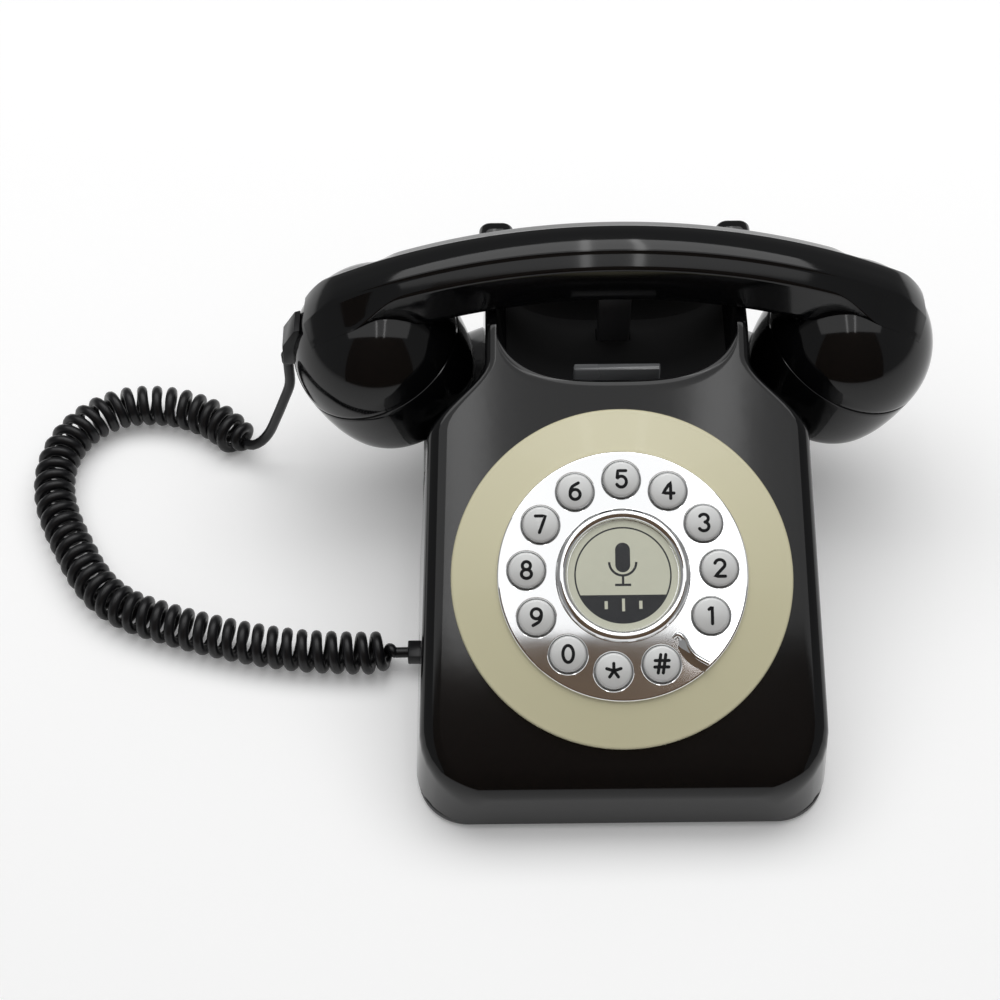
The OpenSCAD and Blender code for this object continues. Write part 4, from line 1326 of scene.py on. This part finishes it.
    def stop(self) -> bpy.types.Object:
        """Finger stop: a hooked ridge that slopes down towards the hash key.

        Returns:
            The piece.
        """
        line = [Vector(p) for p in curve(self.stop_line, self.stop_steps)]
        rings = []
        for i, p in enumerate(line):
            ahead = heading(line, i)
            side = Vector((-ahead.y, ahead.x))
            full = mix(self.stop_start[0], 1.0, ease(i / self.stop_steps))
            wide = mix(self.stop_start[1], 1.0, ease((i / self.stop_steps - 1) / 2))
            ring = []
            for across, up in self.stop_section:
                spot = p + side * (across * (full if across > self.stop_slope else wide))
                ring.append((spot.x, spot.y, self.plate + (up * full if up > 0 else up)))
            rings.append(ring)
        made = self.bench.loft("stop_ridge", rings)
        made.data.transform(self.place)
        return self.bench.tidy(made, 45.0)

    def key_spot(self, i: int) -> Matrix:
        """Frame of a key, counted from the 1 key."""
        a = math.radians(90 + (i - self.top_key) * self.key_step)
        return self.place @ Matrix.Translation(Vector((math.cos(a), math.sin(a), 0)) * self.key_ring * MM)

    def dome(self, x: float, y: float) -> float:
        """Height of a key's top above the panel at a place on it."""
        d = min(math.hypot(x, y) / self.key_r, 1.0)
        return self.plate + self.key_rise + self.key_dome * (1 - d * d)

    def sign(self, name: str, sign: str) -> bpy.types.Object:
        """Raised strokes of a key's sign, with round ends.

        Args:
            name: Name of the piece.
            sign: The sign.

        Returns:
            The strokes about the key's own middle.
        """
        points: list[Point] = []
        faces: list[tuple[int, ...]] = []
        unit, half = self.sign_h / Glyphs.HEIGHT, self.sign_w / 2
        bend = sweep(0, 180, 8)[1:-1]
        for stroke in Glyphs.strokes(sign):
            line = [Vector(p) * unit for p in stroke]
            fine = [a.lerp(b, k / 4) for a, b in zip(line, line[1:]) for k in range(4)] + [line[-1]]
            ways = [heading(fine, i) * half for i in range(len(fine))]
            sides = [Vector((-way.y, way.x)) for way in ways]
            left = [p + side for p, side in zip(fine, sides)]
            right = [p - side for p, side in zip(fine, sides)]
            nose = [fine[-1] + sides[-1] * math.cos(a) + ways[-1] * math.sin(a) for a in bend]
            tail = [fine[0] - sides[0] * math.cos(a) - ways[0] * math.sin(a) for a in bend]
            loop = left + nose + right[::-1] + tail
            start, m, k = len(points), len(loop), len(left)
            for rise in (-self.sign_sink, self.sign_rise):
                points += [(q.x, q.y, self.dome(q.x, q.y) + rise) for q in loop]
            back = k + len(nose)
            flats = [(i, i + 1, back + k - 2 - i, back + k - 1 - i) for i in range(k - 1)]
            flats += [tuple(range(k - 1, back + 1)), (back + k - 1, *range(back + k, m), 0)]
            for flat in flats:
                faces += [tuple(start + m + q for q in flat), tuple(start + q for q in reversed(flat))]
            faces += [(start + i, start + (i + 1) % m, start + m + (i + 1) % m, start + m + i)
                      for i in range(m)]
        return self.bench.solid(name, points, faces)

    def keys(self) -> None:
        """Twelve keys, each with its sign, riding on its own body."""
        r, top = self.key_r, self.plate + self.key_rise
        flange, step = r + self.key_flange, self.plate - self.plate_t - self.plan.slide_gap
        low = step - self.flange_t
        face = [(r * d, self.dome(r * d, 0.0)) for d in (0.93, 0.85, 0.7, 0.55, 0.4, 0.25, 0.1, 0)]
        outline = [(0, low), (flange, low), (flange, step), (r, step), (r, top - 0.75), (r - 0.06, top - 0.4),
                   (r - 0.2, top - 0.1), *face]
        for i, sign in enumerate(self.signs):
            node, spot = f"key_{sign}", self.key_spot(i)
            cap = self.bench.lathe(f"cap_{sign}", outline, self.key_sides)
            cap.data.transform(spot)
            self.bench.place(self.bench.tidy(cap, 50.0), node, KEY_SILVER, "key_silver", node)
            mark = self.sign(f"sign_{sign}", sign)
            mark.data.transform(spot)
            self.bench.place(self.bench.tidy(mark, 40.0), node, KEY_INK, "key_silver")

    def build(self) -> None:
        """Makes all pieces of the dial."""
        self.bezel()
        self.chrome()
        self.centre_pieces()
        self.keys()


@dataclass
class Handset:
    """Curved handle with two round bowls, screw caps, strain relief and inner pieces.

    Lengths are in millimetres. The handle follows an arc. Its ends are rounded by a ball near each bowl,
    and then flow onto the bowl.
    """

    bench: Bench
    plan: Layout
    ridge: float = 0.57
    end_gap: float = 0.5
    end_in: float = 7.0
    end_up: float = 3.0
    end_rise: float = 6.3
    flow_from: float = 78.0
    flow_run: float = 20.0
    flow_pinch: float = 1.5
    crown: float = 5.0
    skin: float = 7.0
    skin_rise: float = 0.15
    core_sink: float = 5.0
    turns: int = 120
    bowl_sides: int = 120
    hole_r: float = 1.5
    ear_holes: tuple[float, int] = (8.0, 6)
    mouth_holes: tuple[float, int] = (10.0, 8)

    def cup(self, side: int) -> Matrix:
        """Frame of one bowl, its +Z up the tilted axis from the cap seam."""
        plan = self.plan
        return (Matrix.Translation(Vector((side * plan.cup_x, plan.handset_y, plan.cup_z)) * MM)
                @ Matrix.Rotation(math.radians(side * plan.tilt), 4, "Y"))

    def on_handle(self, r: float, y: float, a: float) -> Point:
        """Point of the handle's skin.

        Args:
            r: Distance from the arc's centre.
            y: Distance from the handset's middle plane.
            a: Angle along the arc, in radians.

        Returns:
            The point, drawn onto the ball and the bowl near the ends.
        """
        plan = self.plan
        cup = Vector((plan.cup_x, 0, plan.cup_z))
        ball = cup + Vector((-self.end_in, 0, self.end_up))
        reach, x = plan.bowl + self.end_rise, r * math.sin(a)
        p = Vector((abs(x), y, plan.handset_top - plan.arc + r * math.cos(a)))
        if p.x > plan.cup_x + self.end_in and (p - ball).length > reach:
            p = ball + (p - ball).normalized() * reach
        share = ease((p.x - self.flow_from) / self.flow_run)
        if r >= plan.arc - self.crown:
            share *= ease((abs(p.y) / (plan.handle_wide / 2) - self.ridge) / (1 - self.ridge))
        way = Vector((p.x, self.flow_pinch * p.y, p.z)) - cup
        level = self.skin_rise if r > plan.arc - self.skin else -self.core_sink
        p = p.lerp(cup + way.normalized() * (plan.bowl + level), share)
        return math.copysign(p.x, x), plan.handset_y + p.y, p.z

    def handle(self) -> bpy.types.Object:
        """Handle bent along its arc.

        Returns:
            The piece, without its bowls.
        """
        w, high, low = self.plan.handle_wide / 2, self.plan.arc, self.plan.arc - self.plan.handle_thick
        half = [(high - 0.25, w * 0.25, 2.0), (high - 0.9, w * 0.5, 0.7), (high - 1.7, w * self.ridge, 0.7),
                (high - 4.8, w, 1.2), (high - 13, w * 0.98, 2.5), (low + 3, w * 0.95, 1.5),
                (low + 0.8, w * 0.86, 1.2), (low, w * 0.7, 1.5)]
        section = rounded(half + [(r, -y, cut) for r, y, cut in reversed(half)])
        end = math.asin((self.plan.handset_length / 2 - self.end_gap) / self.plan.arc)
        rings = [[self.on_handle(r, y, mix(-end, end, i / self.turns)) for r, y in section]
                 for i in range(self.turns + 1)]
        return self.bench.tidy(self.bench.loft("handle_and_bowls", rings), 40.0)

    def shell(self) -> bpy.types.Object:
        """Handle and both bowls as one piece.

        Returns:
            The piece.
        """
        whole, r = self.handle(), self.plan.bowl
        outline = [(0, 0), (r - 0.5, 0), (r - 0.12, 0.12), (r, 0.5),
                   *((r * math.cos(a), r * math.sin(a)) for a in sweep(3, 87, 28)), (0, r)]
        for side in (-1, 1):
            bowl = self.bench.lathe("bowl", outline, self.bowl_sides)
            bowl.data.transform(self.cup(side))
            self.bench.cut(whole, bowl, "UNION")
        return self.bench.tidy(whole, 33.0, False)

    def cap(self, name: str, side: int, holes: tuple[float, int]) -> bpy.types.Object:
        """Screw cap with sound holes, one in the middle and the others in a ring.

        Args:
            name: Name of the piece.
            side: -1 for the mouthpiece, 1 for the earpiece.
            holes: Radius of the ring and its number of holes.

        Returns:
            The cap on its bowl.
        """
        r, h, face = self.plan.bowl, self.plan.cap_height, self.plan.bowl - self.plan.cap_face
        flank = curve([(r - 0.02, -1.6), *((r - inset, -share * h) for inset, share in self.plan.cap_flank),
                       (face, -h), (face - 3, 0.4 - h)], 5)
        outline = [(0, 0), (r - 0.6, 0), (r - 0.6, -0.8), (r - 0.15, -1.05), *flank, (0, 1.2 - h)]
        made = self.bench.lathe(name, outline)
        ring, count = holes
        spots = [Matrix.Identity(4)] + [
            Matrix.Translation(Vector((ring * math.cos(a), ring * math.sin(a), 0)) * MM) for a in turn(count)]
        peg = [(0, -h - 1), (self.hole_r, -h - 1), (self.hole_r, 4 - h), (0, 4 - h)]
        self.bench.cut(made, self.bench.lathed_set("pegs", spots, peg), "DIFFERENCE")
        made.data.transform(self.cup(side))
        return self.bench.tidy(made, 38.0, False)

    def build(self) -> None:
        """Makes all pieces of the handset."""
        for piece, node in ((self.shell(), "handset_shell"),
                            (self.cap("earpiece_cover", 1, self.ear_holes), "earpiece_cap"),
                            (self.cap("mouthpiece_cover", -1, self.mouth_holes), "mouthpiece_cap")):
            self.bench.place(piece, Body.HANDSET, BLACK_GLOSS, "black_gloss", node)
        relief = self.bench.soften("handset_gland", "cord_relief", 0.7)
        self.bench.place(relief, Body.HANDSET, CORD_BLACK, "cord_black", "handset_gland")
        for node, look in (("receiver_capsule", BATTERY), ("microphone_capsule", BATTERY),
                           ("handset_weight", STEEL)):
            self.bench.dress(node, look)


@dataclass
class CurlyCord:
    """One unbroken curly cord from the handset to the left side of the case, in millimetres.

    The coil runs from one numbered point of the route to another. Its curls grow and shrink over a share
    of the pitch, the ramp.
    """

    bench: Bench
    thick: float = 4.0
    curl: float = 6.1
    curls: int = 50
    ramp: float = 1.2
    rings: int = 24
    sides: int = 12
    coil_from: int = 7
    coil_to: int = 28
    route_steps: int = 8
    lead_steps: int = 24
    tail_steps: int = 8
    route: tuple[Point, ...] = (
        (-121.5, 63.66, 65.8106), (-121.5, 63.66, 61.5606), (-122, 63.9, 52), (-125, 64.5, 42),
        (-129, 65.3, 30), (-133, 66.2, 19), (-137.5, 66.2, 12.5), (-142.5, 68, 9), (-149.5, 74.5, 8.3),
        (-157, 81, 8.2), (-170, 87, 8.2), (-183, 89, 8.2), (-195, 87.5, 8.2), (-206, 81, 8.2),
        (-214, 70.5, 8.2), (-217.5, 57, 8.2), (-216.5, 43, 8.2), (-212, 30, 8.2), (-206, 18, 8.2),
        (-200, 7, 8.2), (-192.5, -2.5, 8.2), (-183, -9.5, 8.2), (-170, -15, 8.2), (-155, -20, 8.2),
        (-136, -25, 8.2), (-117, -28.3, 8.2), (-98, -29.6, 8.2), (-86, -29.6, 8.2), (-81.5, -29.6, 8.2),
        (-77.2343, -29.6, 8.3))

    def strand(self) -> tuple[list[Vector], list[Vector]]:
        """Centre line of the cord and the side that it curls to.

        Returns:
            Points and unit sides.
        """
        line = [Vector(p) for p in curve(self.route, self.route_steps)]
        run = [0.0]
        for a, b in zip(line, line[1:]):
            run.append(run[-1] + (b - a).length)
        first, last = run[self.coil_from * self.route_steps], run[self.coil_to * self.route_steps]
        pitch = (last - first) / self.curls
        marks = [first * i / self.lead_steps for i in range(self.lead_steps)]
        marks += [first + pitch * i / self.rings for i in range(self.curls * self.rings + 1)]
        marks += [mix(last, run[-1], i / self.tail_steps) for i in range(1, self.tail_steps + 1)]
        axis, j = [], 0
        for s in marks:
            while j < len(run) - 2 and run[j + 1] < s:
                j += 1
            axis.append(line[j].lerp(line[j + 1], min(max((s - run[j]) / (run[j + 1] - run[j]), 0.0), 1.0)))
        points, sides, side = [], [], Vector((0, 1, 0))
        for i, s in enumerate(marks):
            head = heading(axis, i)
            side = (side - side.dot(head) * head).normalized()
            a = math.tau * max(0.0, min(last, s) - first) / pitch
            out = math.cos(a) * side + math.sin(a) * head.cross(side)
            rise = self.ramp * pitch
            points.append(axis[i] + self.curl * ease((s - first) / rise) * ease((last - s) / rise) * out)
            sides.append(out)
        return points, sides

    def build(self) -> None:
        centres, outs = self.strand()
        rings = []
        for i, c in enumerate(centres):
            head = heading(centres, i)
            e1 = (outs[i] - outs[i].dot(head) * head).normalized()
            e2 = head.cross(e1)
            rings.append([tuple(c + self.thick / 2 * (math.cos(a) * e1 + math.sin(a) * e2))
                          for a in turn(self.sides)])
        cord = self.bench.tidy(self.bench.loft("curly_cord", rings), 60.0)
        self.bench.wear(cord, CORD_BLACK)
        path = [c * MM for c in centres]
        length = sum((b - a).length for a, b in zip(path, path[1:]))
        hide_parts("handset_cord")
        tuple(path[0])
        [tuple(p) for p in path]
        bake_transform(cord)
        LOG.info("curly_cord is %.2f m long and stretches with the handset", length)


class Fasteners:
    """Node tree that sets pan-head screws with a cross recess on points.

    The recess is measured in head radii.
    """

    SIZES = ("Head radius", "Head height", "Shaft radius", "Shaft length", "Tilt")
    RECESS_LENGTH = 1.1
    RECESS_WIDTH = 0.22
    SHAFT_SIDES = 24
    HEAD_SIDES = 40

    def __init__(self, bench: Bench) -> None:
        """Builds the tree once, with named inputs for the sizes in metres.

        Args:
            bench: Maker of meshes.
        """
        self.bench = bench
        tree = self.tree = bpy.data.node_groups.new("Screws on points", "GeometryNodeTree")
        kinds = {"Geometry": "Geometry", **dict.fromkeys(self.SIZES, "Float"), "Finish": "Material"}
        self.ids = {name: tree.interface.new_socket(name, in_out="INPUT",
                                                    socket_type=f"NodeSocket{kind}").identifier
                    for name, kind in kinds.items()}
        tree.interface.new_socket("Geometry", in_out="OUTPUT", socket_type="NodeSocketGeometry")
        given, sink = tree.nodes.new("NodeGroupInput").outputs, tree.nodes.new("NodeGroupOutput")
        head_r, head_h, shaft_h = given["Head radius"], given["Head height"], given["Shaft length"]
        shaft = self.rod(self.SHAFT_SIDES, given["Shaft radius"], shaft_h)
        shaft = self.lifted(shaft, self.times(shaft_h, 0.5))
        head = self.lifted(self.rod(self.HEAD_SIDES, head_r, head_h), self.times(head_h, -0.5))
        long, thin = self.times(head_r, self.RECESS_LENGTH), self.times(head_r, self.RECESS_WIDTH)
        for x, y in ((long, thin), (thin, long)):
            bar = self.add("GeometryNodeMeshCube", {"Size": self.vector(X=x, Y=y, Z=head_h)})
            recess = self.lifted(bar, self.times(head_h, -1.0))
            head = self.add("GeometryNodeMeshBoolean", {"Mesh 1": head, "Mesh 2": recess}, "DIFFERENCE")
        both = tree.nodes.new("GeometryNodeJoinGeometry")
        for part in (head, shaft):
            tree.links.new(part, both.inputs[0])
        lean = self.vector(X=given["Tilt"])
        screws = self.add("GeometryNodeInstanceOnPoints", {
            "Points": given["Geometry"], "Instance": both.outputs[0], "Rotation": lean})
        real = self.add("GeometryNodeRealizeInstances", {"Geometry": screws})
        dressed = self.add("GeometryNodeSetMaterial", {"Geometry": real, "Material": given["Finish"]})
        tree.links.new(dressed, sink.inputs[0])

    def add(self, kind: str, inputs: dict, operation: str = "") -> bpy.types.NodeSocket:
        """Adds a node.

        Args:
            kind: Blender's node type.
            inputs: Socket name or index to a value or a linked socket.
            operation: Its operation, where it has one.

        Returns:
            The node's first output.
        """
        made = self.tree.nodes.new(kind)
        if operation:
            made.operation = operation
        for key, given in inputs.items():
            if isinstance(given, bpy.types.NodeSocket):
                self.tree.links.new(given, made.inputs[key])
            else:
                made.inputs[key].default_value = given
        return made.outputs[0]

    def times(self, size: bpy.types.NodeSocket, factor: float) -> bpy.types.NodeSocket:
        """Size times a factor."""
        return self.add("ShaderNodeMath", {0: size, 1: factor}, "MULTIPLY")

    def vector(self, **axes: bpy.types.NodeSocket) -> bpy.types.NodeSocket:
        """Vector of the named axes, the others being 0."""
        return self.add("ShaderNodeCombineXYZ", axes)

    def rod(self, sides: int, radius: bpy.types.NodeSocket,
            length: bpy.types.NodeSocket) -> bpy.types.NodeSocket:
        """Round rod about the origin."""
        return self.add("GeometryNodeMeshCylinder", {"Vertices": sides, "Radius": radius, "Depth": length})

    def lifted(self, shape: bpy.types.NodeSocket, height: bpy.types.NodeSocket) -> bpy.types.NodeSocket:
        """Shape raised by a height."""
        return self.add("GeometryNodeTransform", {"Geometry": shape, "Translation": self.vector(Z=height)})

    def build(self, name: str, node: str, spots: Sequence[Point], sizes: Sequence[float]) -> None:
        """Sets screws and lets them stand for a CAD node.

        Args:
            name: Name of the piece.
            node: CAD node.
            spots: Underside of each head, in millimetres.
            sizes: Values of the tree's sizes in their order, in millimetres, the tilt in degrees.
        """
        piece = self.bench.solid(name, spots, [])
        step = piece.modifiers.new("screws", "NODES")
        step.node_group = self.tree
        for key, size in zip(self.SIZES, sizes):
            step[self.ids[key]] = math.radians(size) if key == "Tilt" else size * MM
        step[self.ids["Finish"]] = self.bench.finish(STEEL)
        screws = self.bench.tidy(self.bench.settle(piece), 30.0)
        self.bench.place(screws, Body.BASE, STEEL, "screw_steel", node)


@dataclass
class Workings:
    """Base plate, feet, screws, hook and the pieces inside the case.

    Lengths are in millimetres. Sizes of screws are radius and height of the head, then of the shaft.
    """

    bench: Bench
    plan: Layout
    dial: Dial
    foot_r: float = 7.0
    foot_h: float = 2.0
    front_foot_in: Flat = (14.0, 34.0)
    back_foot_in: Flat = (16.0, 40.0)
    base_screw: tuple[float, ...] = (2.8, 1.4, 1.4, 12.4)
    front_screw_in: Flat = (22.0, 20.0)
    back_screw_in: Flat = (22.0, 24.0)
    base_screw_z: float = 3.6
    board_screw: tuple[float, ...] = (2.0, 1.4, 1.1, 6.1)
    board_t: float = 1.6

    def corners(self, front: Flat, back: Flat, z: float) -> list[Point]:
        """Four places near the corners of the case.

        Args:
            front: Distance of the front two from the side and from the front.
            back: Distance of the back two from the side and from the back.
            z: Their height.

        Returns:
            The places.
        """
        x, y = self.plan.width / 2, self.plan.depth / 2
        ends = ((x - front[0], front[1] - y), (x - back[0], y - back[1]))
        return [(side * px, py, z) for px, py in ends for side in (1, -1)]

    def feet(self) -> None:
        """Four rubber feet with round rims."""
        r, h = self.foot_r, self.foot_h
        outline = [(0, 0), (r - 0.8, 0), (r - 0.25, 0.2), (r, 0.7), (r, h), (0, h)]
        spots = [Matrix.Translation(Vector(p) * MM)
                 for p in self.corners(self.front_foot_in, self.back_foot_in, 0.0)]
        pads = self.bench.tidy(self.bench.lathed_set("rubber_pads", spots, outline), 35.0)
        self.bench.place(pads, Body.BASE, RUBBER, "foot_rubber", "rubber_feet")

    def screws(self) -> None:
        """Screws of the base plate and of the keypad board."""
        tool = Fasteners(self.bench)
        spots = self.corners(self.front_screw_in, self.back_screw_in, self.base_screw_z)
        tool.build("base_fixings", "base_screws", spots, (*self.base_screw, 0.0))
        far, low = (self.dial.ledge_r + self.dial.skirt_r) / 2, self.dial.board_top - self.board_t
        inner = [self.dial.place @ (Vector((far * math.cos(a), far * math.sin(a), low)) * MM) / MM
                 for a in sweep(45, 315, 3)]
        tool.build("keypad_fixings", "keypad_screws", inner, (*self.board_screw, self.plan.slope))

    def build(self) -> None:
        """Makes the pieces that ride on the base and on the hook."""
        self.feet()
        self.screws()
        for node, name, edge, body, look, slot in (
                ("base_plate", "floor_plate", 0.5, Body.BASE, BLACK_MATT, "base_black"),
                ("hook_plunger", "hook_bar", 0.6, Body.HOOK, HOOK_GREY, "hook_grey"),
                ("hook_lever", "hook_arm", 0.6, Body.HOOK, BLACK_MATT, "base_black"),
                ("cord_plug", "side_plug", 0.5, Body.BASE, CORD_BLACK, "plug_clear"),
                ("cord_jack", "side_socket", 0.3, Body.BASE, BLACK_MATT, "base_black")):
            self.bench.place(self.bench.soften(node, name, edge), body, look, slot, node)
        for node, look in (("ballast_plate", STEEL), ("main_board", BOARD), ("battery_pack", BATTERY),
                           ("usb_port", STEEL), ("hook_switch", BLACK_MATT), ("plunger_spring", STEEL),
                           ("keypad_mat", MEMBRANE), ("keypad_board", BOARD)):
            self.bench.dress(node, look)


class Lamp(NamedTuple):
    """Rectangular lamp that faces straight down: its middle and size in metres, its power in watts."""

    name: str
    spot: Point
    size: Flat
    power: float


@dataclass
class Studio:
    """White table, soft light from above, a dark card for reflections and the camera.

    The camera's place is in millimetres. The dark card is in metres: half its width, then Y and Z of its
    upper and of its lower edge.
    """

    bench: Bench
    eye: Point = (-42.44, -455.86, 690.66)
    down: float = 54.0
    roll: float = 0.6
    lens: float = 77.74
    sensor: float = 36.0
    sky_level: float = 0.25
    table_half: float = 6000.0
    table_tones: Flat = (0.90, 0.92)
    white: float = 0.13
    lamps: tuple[Lamp, ...] = (
        Lamp("ceiling_front", (0, -0.2625, 1.5), (2.5, 0.725), 4.9),
        Lamp("ceiling_back", (0, 0.65, 1.5), (2.5, 1.1), 19.5),
        Lamp("left_tube", (-0.08, 0.28, 1.46), (0.05, 1.84), 0.9),
        Lamp("right_tube", (0.18, 0.28, 1.46), (0.05, 1.84), 0.9))
    card_half: float = 0.95
    card_top: Flat = (-0.63, 1.495)
    card_foot: Flat = (-1.0, 0.0)
    card_colour: Colour = (0.13, 0.085, 0.052)

    def camera(self) -> None:
        """Camera at the photograph's angle."""
        data = bpy.data.cameras.new("camera")
        data.lens, data.sensor_width, data.sensor_fit = self.lens, self.sensor, "HORIZONTAL"
        data.clip_start, data.clip_end = 0.01, 50.0
        camera = show("camera", data)
        camera.matrix_world = (Matrix.Translation(Vector(self.eye) * MM)
                               @ Matrix.Rotation(math.radians(90 - self.down), 4, "X")
                               @ Matrix.Rotation(math.radians(-self.roll), 4, "Z"))
        bpy.context.scene.camera = camera

    def light(self, lamp: Lamp) -> None:
        """Hangs a lamp.

        Args:
            lamp: The lamp.
        """
        data = bpy.data.lights.new(lamp.name, "AREA")
        data.shape, data.size, data.size_y, data.energy = "RECTANGLE", *lamp.size, lamp.power
        made = show(lamp.name, data)
        made.location = lamp.spot
        made.rotation_mode = "QUATERNION"
        made.rotation_quaternion = Vector((0, 0, -1)).to_track_quat("-Z", "Y")

    def dark_card(self) -> None:
        """Dark card in front of the telephone that only reflections show."""
        x, (top_y, top_z), (foot_y, foot_z) = self.card_half, self.card_top, self.card_foot
        corners = [(-x, top_y, top_z), (x, top_y, top_z), (x, foot_y, foot_z), (-x, foot_y, foot_z)]
        made = self.bench.solid("dark_card", [tuple(c / MM for c in p) for p in corners], [(0, 1, 2, 3)])
        g = Graph("dark_card")
        made.data.materials.append(g.principled({"Base Color": (*self.card_colour, 1), "Roughness": 0.9}))
        made.visible_camera = made.visible_diffuse = made.visible_shadow = False

    def table(self) -> None:
        """White table top that shows a little brighter than it lights."""
        far = self.table_half
        made = self.bench.solid("table", [(-far, -far, 0), (far, -far, 0), (far, far, 0), (-far, far, 0)],
                                [(0, 1, 2, 3)])
        g = Graph("white table")
        dark, pale = ((tone, tone, tone) for tone in self.table_tones)
        rays = [g.node("ShaderNodeLightPath", {}, {}, f"Is {kind} Ray")
                for kind in ("Camera", "Glossy", "Transmission")]
        seen = rays[0].at_least(rays[1]).at_least(rays[2])
        made.data.materials.append(g.principled({
            "Base Color": g.colours(dark, pale, g.noise(3.0)), "Roughness": 0.8,
            "Emission Strength": self.white, "Emission Color": g.colours((0, 0, 0), (1, 1, 1), seen)}))

    def sky(self) -> None:
        """Even white surroundings."""
        world = bpy.data.worlds.new("studio")
        bpy.context.scene.world = world
        world.use_nodes = True
        background = world.node_tree.nodes["Background"]
        background.inputs[0].default_value = (1, 1, 1, 1)
        background.inputs[1].default_value = self.sky_level

    def build(self) -> None:
        """Sets up camera, table and lights."""
        bpy.context.scene.view_settings.view_transform = "Standard"
        self.camera()
        self.table()
        self.sky()
        for lamp in self.lamps:
            self.light(lamp)
        self.dark_card()


def main() -> None:
    """Builds the telephone piece by piece and sets the studio."""
    logging.basicConfig(level=logging.INFO, format="%(name)s: %(message)s")
    bench, plan = Bench(), Layout()
    Studio(bench).build()
    dial = Dial(bench, plan)
    Case(bench, plan).build(dial.place, dial.hole_r)
    dial.build()
    Handset(bench, plan).build()
    Workings(bench, plan, dial).build()
    CurlyCord(bench).build()


if __name__ == "__main__":
    main()
